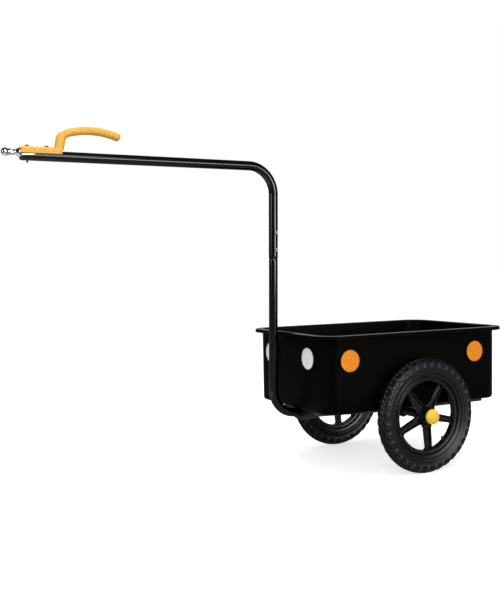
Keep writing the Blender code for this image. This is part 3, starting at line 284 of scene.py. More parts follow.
class Term:
    """A shader node's output. Reckoning with it adds Math nodes to its tree."""

    def __init__(self, tree, socket):
        self.tree, self.socket = tree, socket

    def math(self, operation, *values):
        """What a Math node makes of the values."""
        inputs = {f"i{number}": value for number, value in enumerate(values)}
        return place(self.tree, "Math", options={"operation": operation}, **inputs)

    def __add__(self, other):
        return self.math("ADD", self, other)

    def __sub__(self, other):
        return self.math("SUBTRACT", self, other)

    def __rsub__(self, other):
        return self.math("SUBTRACT", other, self)

    def __mul__(self, other):
        return self.math("MULTIPLY", self, other)

    def __abs__(self):
        return self.math("ABSOLUTE", self)

    __radd__, __rmul__ = __add__, __mul__

    def larger(self, other):
        """The larger one of two."""
        return self.math("MAXIMUM", self, other)

    def ranged(self, low, high, to_low=0.0, to_high=1.0, ease="LINEAR"):
        """to_low up to low, to_high from high on, and a way between them in line or eased."""
        return place(self.tree, "MapRange", options={"interpolation_type": ease}, Value=self,
                     From_Min=low, From_Max=high, To_Min=to_low, To_Max=to_high)


def blend(tree, share, first, second, mode="MIX"):
    """A colour between two, by a share from 0 to 1."""
    return place(tree, "Mix", 2, {"data_type": "RGBA", "blend_type": mode}, i0=share, i6=first, i7=second)


def shaded(tree, colour, shade):
    """The colour times a shade of grey."""
    grey = place(tree, "CombineColor", Red=shade, Green=shade, Blue=shade)
    return blend(tree, 1.0, colour, grey, "MULTIPLY")


def noise(tree, given, scale, detail, roughness=0.5, distortion=0.0):
    """Noise over the piece's own coordinate."""
    return place(tree, "TexNoise", Vector=given["Coordinate"], Scale=scale, Detail=detail,
                 Roughness=roughness, Distortion=distortion)


def bump(tree, height, distance, strength=1.0):
    """The normal over a relief of that height."""
    return place(tree, "Bump", Height=height, Distance=distance, Strength=strength)


def moulded_skin(tree, given):
    """Moulded or painted skin: a fine grain on the surface, and slow changes in shade and gloss."""
    grain = noise(tree, given, given["Grain Scale"], 2.0, 0.6)
    scuffs = noise(tree, given, 38.0, 6.0, 0.72, 1.5).ranged(0.60, 0.78) * given["Scuffs"]
    drift = (noise(tree, given, 5.0, 4.0, 0.6) - 0.5) * given["Mottle"]
    return {"Colour": shaded(tree, given["Colour"], 1.0 + drift + scuffs * 1.2),
            "Roughness": given["Roughness"] + drift * 0.35 + scuffs * 0.25,
            "Normal": bump(tree, grain, given["Grain Depth"])}


def plated_steel(tree, given):
    """Plated or ground steel: cloudy tone, small stains and a very fine grain."""
    dark = (noise(tree, given, 140.0, 4.0) - 0.5) * given["Stain"]
    return {"Colour": shaded(tree, given["Colour"], 1.0 + dark),
            "Roughness": given["Roughness"] - dark * 0.5,
            "Normal": bump(tree, noise(tree, given, 1500.0, 1.0), 0.00001)}


def prism_lens(tree, given):
    """A reflector's lens: small prism cells in rows, each with its own brightness, and a plain rim."""
    cells = place(tree, "TexVoronoi", None, {"feature": "F1", "distance": "CHEBYCHEV"},
                  Vector=given["Flat"], Scale=420.0, Randomness=0.25)
    sparkle = (place(tree, "SeparateColor", Color=cells["Color"]) - 0.5) * 0.3
    lens = shaded(tree, given["Colour"], 1.0 + sparkle)
    return {"Colour": blend(tree, given["Rim"], lens, given["Rim Colour"]),
            "Normal": bump(tree, cells["Distance"] * (1.0 - given["Rim"]), 0.0006, 0.6)}


def tyre_rubber(tree, given):
    """Tyre rubber: dull grey flanks, a painted highlight on the raised crests beside them and painted shade
    in the hollows.
    """
    cloud = noise(tree, given, 28.0, 5.0, 0.7)
    hollow = (1.0 - given["Relief"]) * (1.0 - given["Flank"])
    # Painted shade: the tread's hollows turn towards the darker groove colour, in patches set by the noise.
    groove_shade = hollow * cloud.ranged(0.3, 0.75, 0.25, 1.0)
    # Painted highlight: the raised crests in the shoulder zone turn towards the paler crest colour.
    crest_highlight = given["Relief"].ranged(0.68, 0.98) * given["Flank"]
    colour = blend(tree, given["Flank"], given["Tread Colour"], given["Flank Colour"])
    colour = blend(tree, groove_shade, colour, given["Groove Colour"])
    colour = blend(tree, crest_highlight, colour, given["Edge Colour"])
    return {"Colour": shaded(tree, colour, 0.82 + cloud * 0.36),
            "Roughness": given["Roughness"] + (cloud - 0.5) * 0.2,
            "Normal": bump(tree, noise(tree, given, 1100.0, 3.0), 0.00004)}


OUTPUTS = {"Colour": ("Color", "Base Color"), "Roughness": ("Float", "Roughness"),
           "Normal": ("Vector", "Normal")}


def node_group(maker, kinds):
    """The node group that the maker fills, built the first time it is asked for. kinds gives each
    input's kind, and the maker gives each output's term."""
    name = maker.__name__.replace("_", " ").capitalize()
    group = bpy.data.node_groups.get(name)
    if group:
        return group
    group = bpy.data.node_groups.new(name, "ShaderNodeTree")
    for label, kind in kinds.items():
        group.interface.new_socket(label, in_out="INPUT", socket_type="NodeSocket" + kind)
    source = group.nodes.new("NodeGroupInput").outputs
    results = maker(group, {label: Term(group, source[label]) for label in kinds})
    for label in results:
        group.interface.new_socket(label, in_out="OUTPUT", socket_type="NodeSocket" + OUTPUTS[label][0])
    target = group.nodes.new("NodeGroupOutput").inputs
    for label, term in results.items():
        group.links.new(term.socket, target[label])
    return group


def finish(name, maker, values, shader, reads):
    """A material whose Principled BSDF takes its changing values from the maker's node group.

    reads gives what feeds the group: object coordinates or the piece's own attributes. values
    are the group's other inputs, and shader holds what is the same all over.
    """
    material = bpy.data.materials.get(name)
    if material:
        return material
    material = bpy.data.materials.new(name)
    material.use_nodes = True
    tree = material.node_tree
    kinds = {label: "Vector" if source in ("Object", "flat") else "Float"
             for label, source in reads.items()}
    kinds |= {label: "Color" if isinstance(value, tuple) else "Float" for label, value in values.items()}
    item = tree.nodes.new("ShaderNodeGroup")
    item.node_tree = node_group(maker, kinds)
    for label, source in reads.items():
        if source == "Object":
            term = place(tree, "TexCoord", "Object")
        else:
            output = "Vector" if kinds[label] == "Vector" else "Fac"
            term = place(tree, "Attribute", output, {"attribute_name": source})
        tree.links.new(term.socket, item.inputs[label])
    for label, value in values.items():
        item.inputs[label].default_value = (*value, 1.0) if isinstance(value, tuple) else value
    principled = tree.nodes["Principled BSDF"].inputs
    for label, (_, target) in OUTPUTS.items():
        if label in item.outputs:
            tree.links.new(item.outputs[label], principled[target])
    for label, value in shader.items():
        principled[label.replace("_", " ")].default_value = value
    return material


def moulded(name, colour, roughness, grain=900.0, depth=0.00002, mottle=0.2, scuffs=0.1, **shader):
    """A moulded or painted finish."""
    values = {"Colour": tuple(colour), "Roughness": roughness, "Grain Scale": grain, "Grain Depth": depth,
              "Mottle": mottle, "Scuffs": scuffs}
    return finish(name, moulded_skin, values, shader, {"Coordinate": "Object"})


def plated(name, colour, roughness, stain=0.2):
    """A plated or ground steel finish."""
    values = {"Colour": colour, "Roughness": roughness, "Stain": stain}
    return finish(name, plated_steel, values, {"Metallic": 1.0}, {"Coordinate": "Object"})


def tub_plastic(look):
    """Black polyethylene with a soft sheen."""
    return moulded("Tub plastic", look.tub_colour, look.tub_roughness, 1400.0, 0.000018, 0.25, 0.12,
                   Specular_IOR_Level=look.tub_specular)


def drawbar_paint(look):
    """Gloss black powder coat, whose sheen fades towards the tube's outline."""
    material = moulded("Drawbar paint", look.paint_colour, look.paint_roughness, 500.0, 0.000012, 0.2, 0.06)
    tree = material.node_tree
    sheen = tree.nodes["Principled BSDF"].inputs["Specular IOR Level"]
    if not sheen.is_linked:
        fade = place(tree, "LayerWeight", "Facing", Blend=0.5).ranged(0.50, 0.85, 0.42, 0.06)
        tree.links.new(fade.socket, sheen)
    return material


def frame_paint(look):
    """Satin black powder coat."""
    return moulded("Frame paint", look.paint_colour, 0.42, 700.0, 0.00003, 0.3, 0.2)


def yellow_plastic(name, colour):
    """Yellow-orange nylon."""
    return moulded(name, colour, 0.42, 800.0, 0.000008, 0.04, 0.0, Subsurface_Weight=0.06,
                   Subsurface_Radius=(0.004, 0.002, 0.001), Subsurface_Scale=1.0)


def wheel_plastic(look):
    """Black glass-filled nylon."""
    return moulded("Wheel plastic", look.wheel_colour, 0.28, 1000.0, 0.00002, 0.3, 0.10,
                   Specular_IOR_Level=0.32)


def tread_rubber(look):
    """The tyres' rubber, which reads how high the tread stands and where the flank is."""
    values = {"Tread Colour": tuple(look.tread_colour), "Flank Colour": tuple(look.flank_colour),
              "Groove Colour": tuple(look.groove_colour), "Edge Colour": tuple(look.edge_colour),
              "Roughness": 0.34}
    return finish("Tyre rubber", tyre_rubber, values, {"Specular_IOR_Level": 0.26},
                  {"Coordinate": "Object", "Relief": "relief", "Flank": "flank"})


def lens(tone, colour):
    """A reflector's lens in its darker housing, which reads the piece's own flat coordinates."""
    housing = tuple(0.004 + 0.01 * value for value in colour)
    return finish(f"{tone.capitalize()} lens", prism_lens, {"Colour": tuple(colour), "Rim Colour": housing},
                  {"Roughness": 0.2, "Specular_IOR_Level": 0.25}, {"Flat": "flat", "Rim": "rim"})


def plain_rubber(name, grey, roughness):
    """Dull rubber."""
    return moulded(name, (grey, grey, grey), roughness)


def zinc_plate():
    """Bright zinc on steel."""
    return plated("Zinc plate", (0.66, 0.67, 0.68), 0.28)


def dark_plate():
    """Nearly black plate on steel."""
    return plated("Dark plate", (0.045, 0.047, 0.050), 0.10)


def ball_plate():
    """Polished chrome on the hitch."""
    return plated("Ball plate", (0.60, 0.62, 0.64), 0.12, 0.25)


def bearing_steel():
    """Ground steel of the bearings."""
    return plated("Bearing steel", (0.50, 0.50, 0.51), 0.25, 0.1)


# Settings

def colour_setting(name, what, *default):
    """A colour that a user may change."""
    return FloatVectorProperty(name=name, description=f"Colour of {what}", subtype="COLOR",
                               min=0.0, max=1.0, default=default)


def share_setting(name, description, default):
    """A share from 0 to 1."""
    return FloatProperty(name=name, description=description, min=0.0, max=1.0, default=default)


def length_setting(name, description, default):
    """A length in metres."""
    return FloatProperty(name=name, description=description, unit="LENGTH", default=default)


def angle_setting(name, description, default):
    """An angle in radians."""
    return FloatProperty(name=name, description=description, subtype="ANGLE", default=default)


class TRAILER_PG_finish(bpy.types.PropertyGroup):
    """Colours and gloss of the trailer's surfaces."""

    tub_colour: colour_setting("Tub", "the tub's plastic", 0.0017, 0.0020, 0.0012)
    tub_roughness: share_setting("Tub roughness", "How dull the tub's plastic is", 0.34)
    tub_specular: share_setting("Tub sheen", "How strongly the tub's plastic reflects", 0.024)
    paint_colour: colour_setting("Paint", "the steel's paint", 0.0015, 0.0015, 0.0016)
    paint_roughness: share_setting("Paint roughness", "How dull the drawbar's paint is", 0.14)
    yellow_colour: colour_setting("Handle", "the handle", 0.79, 0.415, 0.053)
    # The caps' yellow is the handle's plastic made lighter: partly a hue of their own, partly painted
    # light.
    cap_colour: colour_setting("Hub caps", "the hub caps", 1.0, 0.62, 0.055)
    wheel_colour: colour_setting("Wheel", "the wheels' plastic", 0.0026, 0.0028, 0.0027)
    tread_colour: colour_setting("Tread", "the tread's blocks", 0.0034, 0.0037, 0.0044)
    flank_colour: colour_setting("Flank", "the tyres' flanks", 0.0072, 0.0077, 0.0085)
    # Painted shade in the tread's grooves, darker than the blocks.
    groove_colour: colour_setting("Groove", "the tread's grooves", 0.0012, 0.0013, 0.0015)
    # Painted highlight on the raised crests of the shoulder lugs.
    edge_colour: colour_setting("Lug edge", "the tread's worn edges", 0.050, 0.054, 0.061)
    white_colour: colour_setting("White lens", "the front reflectors", 0.96, 0.98, 0.99)
    orange_colour: colour_setting("Orange lens", "the side reflectors", 0.99, 0.30, 0.014)
    red_colour: colour_setting("Red lens", "the rear reflectors", 0.60, 0.015, 0.012)


class TRAILER_PG_tub(bpy.types.PropertyGroup):
    """Sizes of the tub's moulding."""

    corner_radius: length_setting("Corner radius", "Radius of the tub's upright corners", 0.058)
    wall: length_setting("Wall", "Thickness of the tub's walls", 0.004)
    flange_reach: length_setting("Flange reach", "How far the flange stands out", 0.027)
    flange_lip: length_setting("Flange lip", "How far the flange's edge turns down", 0.012)
    recess_width: length_setting("Recess width", "Width of the notch behind the drawbar", 0.118)
    recess_reach: length_setting("Recess reach", "What is left of the flange in the notch", 0.009)
    rib_pitch: length_setting("Rib pitch", "Spacing of the ribs below the notch", 0.010)


class TRAILER_PG_wheel(bpy.types.PropertyGroup):
    """Sizes of the wheels and tyres."""

    spokes: IntProperty(name="Spokes", description="Number of spokes", min=3, max=9, default=5)
    spoke_angle: angle_setting("Spoke angle", "Direction of the first spoke, from +X towards +Z",
                               math.radians(-95.0))
    tread_pitches: IntProperty(name="Tread pitches", description="Number of shoulder lugs round a tyre",
                               min=8, max=80, default=34)
    tread_depth: length_setting("Tread depth", "Height of the tread's lugs", 0.0026)


class TRAILER_PG_stage(bpy.types.PropertyGroup):
    """The camera."""

    camera_x: length_setting("Camera X", "Camera ahead of the axle", 1.88626)
    camera_y: length_setting("Camera Y", "Camera to the left of the middle", 2.54579)
    camera_z: length_setting("Camera Z", "Camera above the ground", 0.72707)
    yaw: angle_setting("Yaw", "Turn of the view from square to the side", 0.4878)
    pitch: angle_setting("Pitch", "Tilt of the view below level", 0.0405)
    roll: angle_setting("Roll", "Turn of the picture", -0.0156)
    focal: FloatProperty(name="Focal length", description="Focal length in picture widths", default=1.67576)


# Pieces

class TRAILER_OT_tub(bpy.types.Operator):
    """Build the tub: walls, folded flange with its notch, ribs and floor."""

    bl_idname = "trailer.tub"
    bl_label = "Tub"

    corner_steps = 18
    run_steps = (90, 190)
    floor_steps = 30
    rib_top, rib_bottom = 0.014, 0.060
    rib_depth = 0.0014
    notch_edge = 0.006
    notch_root = 0.002
    panel_half = (0.3285, 0.1035)
    panel_rise, panel_edge = 0.0020, 0.003

    def outline(self, half, radius):
        """Points and outward normals round a rectangle with round corners, level in XY.

        A corner point is its circle's middle plus radius times the normal, and a side point lies
        evenly between two corners with the side's own normal.
        """
        spots, normals = [], []
        quarter = np.linspace(0.0, QUARTER, self.corner_steps)
        corners = np.array([(1, 1), (-1, 1), (-1, -1), (1, -1)]) * (half - radius) + [TUB.middle[0], 0.0]
        for i, centre in enumerate(corners):
            turn = quarter + i * QUARTER
            normal = np.stack([np.cos(turn), np.sin(turn)], axis=1)
            steps = self.run_steps[i % 2]
            reach = radius * normal[-1]
            side = straight(centre + reach, corners[(i + 1) % 4] + reach, steps)
            spots += [centre + radius * normal, side]
            normals += [normal, np.repeat(normal[-1:], steps, axis=0)]
        return np.concatenate(spots), np.concatenate(normals)

    def execute(self, context):
        """The outline is carried along a profile of (distance outside the wall, height)."""
        sizes = context.scene.trailer_tub
        reach, lip, wall = sizes.flange_reach, sizes.flange_lip, sizes.wall
        floor, rim = TUB.low[2], TUB.high[2]
        spots, normals = self.outline(TUB.size[:2] / 2.0 - reach, sizes.corner_radius)
        under, thigh = rim - wall, floor + 0.09
        low, high = rim - self.rib_bottom, rim - self.rib_top
        profile = rounded([
            (-0.024, floor), (-0.001, floor, 0.010), (-0.0006, thigh), (-0.0003, low - 0.003),
            (-0.0003, low), (-0.0002, low + 0.003), (-0.0002, high - 0.003), (-0.0001, high),
            (0.0, under, 0.0035), (reach - wall, under, 0.0015), (reach - wall, rim - lip, 0.0008),
            (reach, rim - lip, 0.0012), (reach, rim, 0.0035), (-wall, rim, 0.0030),
            (-wall - 0.001, thigh), (-wall - 0.001, floor + wall, 0.009), (-0.028, floor + wall)], 6)
        out, height = profile[:, :1], profile[:, 1:]
        recess = sizes.recess_width / 2.0
        aside = smooth_step(np.abs(spots[:, 1]), recess - self.notch_edge, recess)
        notch = (normals[:, 0] > 0.99) * (1.0 - aside)
        held = self.notch_root + (out - self.notch_root) * sizes.recess_reach / reach
        ribbed = (height > low) * (height < high) * (out > -0.002) * notch
        ribbed = ribbed * plateau(height - (low + high) / 2.0, (high - low) / 2.0, 0.004)
        out = out * (1.0 - notch) + np.where(out > self.notch_root, held, out) * notch
        wave = 0.5 + 0.5 * np.cos(TURN * spots[:, 1] / sizes.rib_pitch)
        out = out + self.rib_depth * ribbed * wave
        walls = np.concatenate([spots + out[..., None] * normals,
                                np.broadcast_to(height[..., None], out.shape + (1,))], axis=-1)
        share = np.linspace(1.0, 0.0, self.floor_steps)[:, None, None]
        middle = np.array([TUB.middle[0], 0.0])
        below, inside = (middle + share * (ring[:, :2] - middle) for ring in (walls[0], walls[-1]))
        off = np.abs(inside - middle)
        panel = (plateau(off[..., 0], self.panel_half[0], self.panel_edge)
                 * plateau(off[..., 1], self.panel_half[1], self.panel_edge))
        inside = np.dstack([inside, walls[-1, :, 2] + self.panel_rise * panel])
        below = np.dstack([below, np.full(below.shape[:2], floor)])
        sheet = np.concatenate([below[::-1], walls[1:], inside[1:]])
        add_piece("tub_moulding", "tub", [(sheet, False, True)], tub_plastic(context.scene.trailer_finish))
        return {"FINISHED"}


class TRAILER_OT_reflectors(bpy.types.Operator):
    """Build the eight round reflectors with their rims and prism lenses."""

    bl_idname = "trailer.reflectors"
    bl_label = "Reflectors"

    rim_width = 0.0029
    sink, crown = 0.0012, 0.0006

    def execute(self, context):
        """The disc is its profile turned about the wall's normal."""
        look = context.scene.trailer_finish
        for side, sign in SIDES:
            self.build(f"reflector_front_{side}", X_AXIS, "white", look.white_colour)
            self.build(f"reflector_rear_{side}", -X_AXIS, "red", look.red_colour)
            for end in ("front", "rear"):
                self.build(f"reflector_{side}_{end}", Y_AXIS * sign, "orange", look.orange_colour)
        return {"FINISHED"}

    def build(self, node, normal, tone, colour):
        """One reflector in the place of its node."""
        box = Box(node)
        depth = abs(box.size @ normal)
        radius = box.size.max() / 2.0
        base = box.face(-normal)
        face, rim = depth - self.sink, radius - self.rim_width
        edge = rounded([
            (0.0, 0.0), (radius - 0.001, 0.0), (radius, 0.0012, 0.0008), (radius, depth, 0.0016),
            (radius - 0.0024, depth, 0.0006), (rim, face, 0.0004)], 5)
        share = np.linspace(1.0, 0.0, 26)[1:, None]
        dome = np.hstack([share * rim, face + self.crown * (1.0 - share**2)])
        profile = np.concatenate([edge, dome])
        grid = spun(profile, 96, base, normal)
        spot = grid - base
        flat = np.stack([spot @ np.cross(normal, Z_AXIS), spot[..., 2], 0.0 * spot[..., 2]], axis=-1)
        on_rim = np.broadcast_to(profile[:, 0] > rim - 0.0002, grid.shape[:2])
        add_piece(f"{node}_lens", node, [(grid, True, False)], lens(tone, colour),
                  attributes={"flat": flat, "rim": on_rim})


class TRAILER_OT_tyres(bpy.types.Operator):
    """Build both tyres with their lugs."""

    bl_idname = "trailer.tyres"
    bl_label = "Tyres"

    steps_round = 1020
    tread_reach = 0.037
    ring_height = 0.0004

    def section(self, base, half):
        """Places across the tyre, and its bare skin's (radius, across) points and normals there."""
        outer = np.array([
            (0.1546, 0.0150), (0.1512, 0.0166), (0.1502, 0.0182), (0.1524, 0.0192), (0.1570, 0.0200),
            (0.1625, 0.0214), (0.1690, 0.0229), (0.1762, half - 0.0004), (0.1840, 0.0222),
            (0.1900, 0.0182), (0.1945, 0.0118), (base - 0.0003, 0.0052), (base, 0.0)])
        curve = smooth_curve(np.concatenate([outer, (outer * [1, -1])[-2::-1]]), 800)
        way = distances(curve)
        end = way[-1] / 2.0
        shoulder = np.linspace(self.tread_reach, end, 10)[1:]
        tread = np.linspace(-self.tread_reach, self.tread_reach, 66)
        across = np.concatenate([-shoulder[::-1], tread, shoulder])
        line = np.stack([np.interp(across + end, way, part) for part in curve.T], axis=1)
        step = np.diff(line, axis=0, prepend=line[:1], append=line[-1:])
        step = (step[:-1] + step[1:]) / 2.0
        normal = np.stack([-step[:, 1], step[:, 0]], axis=1)
        return across, line, normal / np.linalg.norm(normal, axis=1, keepdims=True)

    def execute(self, context):
        """The tyre's section goes round the axle, and lugs stand square to it where the tread
        pattern, a function of the way round and the way across, is high."""
        sizes = context.scene.trailer_wheel
        material = tread_rubber(context.scene.trailer_finish)
        for side, sign in SIDES:
            box = Box(f"tyre_{side}")
            radius = box.size[2] / 2.0
            across, line, normal = self.section(radius - sizes.tread_depth, box.size[1] / 2.0)
            off = np.abs(across)
            relief = self.pattern(angles(self.steps_round)[:, None] * sizes.tread_pitches / TURN,
                                  across * 1000.0, 1000.0 * TURN * radius / sizes.tread_pitches)
            rings = plateau(off - 0.0415, 0.0006, 0.0006) + plateau(off - 0.0530, 0.0010, 0.0008)
            lift = relief * sizes.tread_depth + self.ring_height * rings
            skin = line + lift[..., None] * normal
            lining = np.array([
                line[-1], (0.1560, -0.0110), (0.1700, -0.0170), (0.1850, -0.0150), (0.1930, 0.0),
                (0.1850, 0.0150), (0.1700, 0.0170), (0.1560, 0.0110), line[0]])
            lining = resampled(lining, 14)[1:-1]
            lining = np.broadcast_to(lining, (self.steps_round, *lining.shape))
            profile = np.concatenate([skin, lining], axis=1) * [1.0, -sign]
            # Raised lugs beyond the tread's middle count as flank too, so they take the paler flank colour:
            # painted light on the lugs, beside the flank's own tone.
            flank = np.maximum(smooth_step(off, 0.0370, 0.0390), relief * smooth_step(off, 0.0190, 0.0230))
            plain = np.zeros(lining.shape[:2])
            add_piece(f"tyre_{side}_rubber", f"tyre_{side}",
                      [turned(profile, self.steps_round, box.middle, -Y_AXIS, True)], material,
                      f"{side}_wheel", {"relief": np.hstack([relief, plain]),
                                        "flank": np.hstack([flank, plain + 1.0])})
        return {"FINISHED"}

    def pattern(self, way, across, pitch):
        """How high the tread stands, from 0 to 1.

        way counts pitches round the tyre and across is millimetres from its middle. A wedge a
        pitch grows out of each flank and splits into two prongs that reach round a deep pocket,
        with a thin hook and its barb in it. The other side has its wedges half a pitch later.
        Slanted blocks and a zigzag rib run round the middle, and a ridge ends the tread.
        """
        out = np.abs(across)
        turn = way + 0.25 * np.sign(across)
        along, far = (((turn + shift) % 1.0 - 0.5) * pitch for shift in (0.0, 0.5))
        flank = plateau(out - 45.0, 7.0, 1.2)
        wedge = plateau(along, np.interp(out, (25.0, 30.0, 35.0, 38.0), (1.6, 3.0, 5.6, 10.0)), 1.2)
        wedge = wedge * plateau(out - 31.5, 7.0, 1.2)
        spread = np.interp(out, (16.0, 20.0, 24.0, 29.0), (10.5, 9.5, 6.0, 0.4))
        prongs = plateau(np.abs(along) - spread, 1.9, 1.1) * plateau(out - 22.5, 6.0, 1.3)
        hook = plateau(far - 0.3 * (out - 27.5), 1.0, 1.1) * plateau(out - 28.5, 3.6, 1.2)
        barb = plateau(far + 3.2 - 0.2 * (out - 25.0), 2.6, 1.1) * plateau(out - 25.0, 0.9, 1.1)
        block = plateau(far + 0.35 * (out - 14.0), 6.4, 1.2) * plateau(out - 13.6, 3.0, 1.2)
        beat = 2.0 * way % 1.0 - 0.5
        rib = plateau(across + 1.5 - 6.0 * np.abs(beat), 6.0, 1.4)
        rib = rib * plateau(beat * pitch / 2.0, pitch / 4.0 - 1.1, 1.1)
        ridge = np.maximum(0.74 * plateau(out - 39.5, 1.6, 1.2), 0.62 * flank)
        high = np.maximum.reduce([wedge, prongs, 0.66 * hook, 0.66 * barb, block, rib])
        return np.clip(np.maximum(high, ridge), 0.0, 1.0)


class TRAILER_OT_wheels(bpy.types.Operator):
    """Build both wheels: rim, channelled spokes and hub."""

    bl_idname = "trailer.wheels"
    bl_label = "Wheels"

    bearing_radius, bearing_depth = 0.0163, 0.010
    bore_radius = 0.0122
    cap_wall = 0.0021
    spoke_root, spoke_tip = 0.0290, 0.1212
    root_width, taper = 0.0290, 0.0070
    channel_edge, channel_slope = 0.0042, 0.0022

    def execute(self, context):
        """Rim and hub are profiles turned about the axle, and spokes are channels carried out
        from the hub."""
        sizes = context.scene.trailer_wheel
        half_rim = [
            (0.1462, 0.0070, 0.001), (0.1525, 0.0090, 0.001), (0.1525, 0.0142, 0.0008),
            (0.1566, 0.0142, 0.0006), (0.1566, 0.0160, 0.0008), (0.1525, 0.0150, 0.0010),
            (0.1506, 0.0150, 0.0004), (0.1502, 0.0178, 0.0003), (0.1488, 0.0184, 0.0004),
            (0.1478, 0.0178, 0.0004), (0.1474, 0.0160, 0.0004), (0.1386, 0.0152, 0.0006),
            (0.1380, 0.0134, 0.0004), (0.1370, 0.0134, 0.0004), (0.1364, 0.0166, 0.0004),
            (0.1352, 0.0172, 0.0004), (0.1340, 0.0168, 0.0004), (0.1332, 0.0140, 0.0006),
            (0.1326, 0.0096, 0.0010), (0.1232, 0.0086, 0.0008), (0.1228, 0.0104, 0.0004),
            (0.1206, 0.0104, 0.0005), (0.1200, 0.0084, 0.0008)]
        rim = rounded(half_rim + [(radius, -y, arc) for radius, y, arc in reversed(half_rim)], 4, True)
        seat, bore = self.bearing_radius, self.bore_radius
        for side, sign in SIDES:
            centre, outward = Box(f"tyre_{side}").middle, Y_AXIS * sign
            half = Box(f"wheel_{side}").size[1] / 2.0
            step = half - self.bearing_depth
            cap = Box(f"hub_cap_{side}")
            foot = abs(cap.face(-outward)[1] - centre[1])
            collar = cap.size[2] / 2.0 - self.cap_wall
            hub = rounded([
                (seat, half), (collar, half, 0.0008), (collar, foot - 0.0006, 0.0003),
                (0.0262, foot - 0.0012, 0.0008), (0.0268, foot - 0.0050, 0.0015), (0.0290, 0.0125, 0.004),
                (0.0325, 0.0085, 0.002), (0.0325, -0.0085, 0.002), (0.0290, -0.0125, 0.003),
                (0.0245, -0.0330, 0.002), (0.0240, -half, 0.001), (seat, -half), (seat, -step),
                (bore, 0.0002 - step), (bore, step - 0.0002), (seat, step)], 4, True)
            patches = [turned(rim, 240, centre, outward, True), turned(hub, 96, centre, outward, True)]
            for angle in sizes.spoke_angle + angles(sizes.spokes):
                patches.append(self.spoke(centre, outward, angle))
            add_piece(f"wheel_{side}_moulding", f"wheel_{side}", patches,
                      wheel_plastic(context.scene.trailer_finish), f"{side}_wheel")
        return {"FINISHED"}

    def spoke(self, centre, outward, angle):
        """One spoke: a channel section whose width tapers outward and flares into the rim."""
        along = np.linspace(0.0, 1.0, 44) ** 0.9
        radius = self.spoke_root + (self.spoke_tip - self.spoke_root) * along
        half = ((self.root_width - self.taper * along) / 2.0
                + 0.0120 * smooth_step(radius, 0.1100, 0.1225) ** 1.6
                + 0.0060 * (1.0 - smooth_step(radius, 0.029, 0.046)))
        edge, slope = self.channel_edge, self.channel_slope
        high, low, floor = 0.0090, -0.0085, 0.0005
        sections = np.array([resampled(rounded([
            (-reach + 0.0012, low, 0.002), (reach - 0.0012, low, 0.002), (reach, high, 0.0014),
            (reach - edge, high, 0.0012), (reach - edge - slope, floor, 0.0012),
            (edge + slope - reach, floor, 0.0012), (edge - reach, high, 0.0012),
            (-reach, high, 0.0014)], 5, True), 72, True) for reach in half])
        direction = np.array([math.cos(angle), 0.0, math.sin(angle)])
        across = np.array([-math.sin(angle), 0.0, math.cos(angle)])
        return capped(centre + radius[:, None, None] * direction + sections[..., :1] * across
                      + sections[..., 1:] * outward)


class TRAILER_OT_hub_caps(bpy.types.Operator):
    """Build the yellow hub caps."""

    bl_idname = "trailer.hub_caps"
    bl_label = "Hub caps"

    lining = 0.0085
    dome_height, dome_inset, dome_flatness = 0.0077, 0.0034, 0.985
    shoulder_drop = 0.0075

    def execute(self, context):
        """The cap is a skirt, a rim and a low dome, turned about the axle."""
        # Lighter than the handle's yellow: partly the caps' own hue, partly painted light.
        material = yellow_plastic("Cap plastic", context.scene.trailer_finish.cap_colour)
        share = np.linspace(1.0, 0.0, 26)[1:, None]
        for side, sign in SIDES:
            box = Box(f"hub_cap_{side}")
            outward = Y_AXIS * sign
            radius = box.size[2] / 2.0
            shoulder = box.size[1] - self.shoulder_drop
            foot = radius - self.dome_inset
            arch = self.dome_height * np.sqrt(1.0 - self.dome_flatness * share**2)
            skirt = rounded([
                (0.0, self.lining), (radius - 0.0024, self.lining), (radius - 0.0018, 0.0),
                (radius - 0.0006, 0.0, 0.0004), (radius, 0.0010, 0.0008), (radius, shoulder, 0.0014),
                (foot + 0.0004, shoulder, 0.0006)], 5)
            profile = np.concatenate([skirt, np.hstack([foot * share, shoulder - 0.0002 + arch])])
            add_piece(f"hub_cap_{side}_cover", f"hub_cap_{side}",
                      [turned(profile, 128, box.face(-outward), outward)], material,
                      f"{side}_wheel")
        return {"FINISHED"}


class TRAILER_OT_valves(bpy.types.Operator):
    """Build the tyre valves with their ribbed caps."""

    bl_idname = "trailer.valves"
    bl_label = "Valves"

    steps_round = 72
    cap_length, cap_diameter = 0.009, 0.0095
    ribs, rib_height = 18, 0.00025

    def execute(self, context):
        """The valve is a profile turned about its own line, and ribs wave round its cap."""
        material = plain_rubber("Valve rubber", 0.012, 0.5)
        profile = rounded([
            (0.0, -self.cap_length), (0.0038, -self.cap_length, 0.001), (0.0046, -0.0072, 0.0006),
            (0.0046, -0.0008, 0.0004), (0.0040, 0.0), (0.0040, 0.0430, 0.0008), (0.0, 0.0430)], 4)
        radius, height = profile.T
        ribbed = (height > -0.0078) & (height < -0.0002) & (radius > 0.003)
        wave = self.rib_height * np.cos(self.ribs * angles(self.steps_round))[:, None] * ribbed
        profile = profile + wave[..., None] * [1.0, 0.0]
        for side, _ in SIDES:
            box, centre = Box(f"valve_{side}"), Box(f"tyre_{side}").middle
            direction = (box.middle - centre) * (X_AXIS + Z_AXIS)
            direction = direction / np.linalg.norm(direction)
            near = np.minimum(np.abs(box.low - centre), np.abs(box.high - centre))
            tilt = np.abs(direction)
            inside = near @ tilt + self.cap_diameter * tilt[0] * tilt[2] + self.cap_length
            stem = turned(profile, self.steps_round, centre + direction * inside, direction, first=Y_AXIS)
            add_piece(f"valve_{side}_stem", f"valve_{side}", [stem], material, f"{side}_wheel")
        return {"FINISHED"}


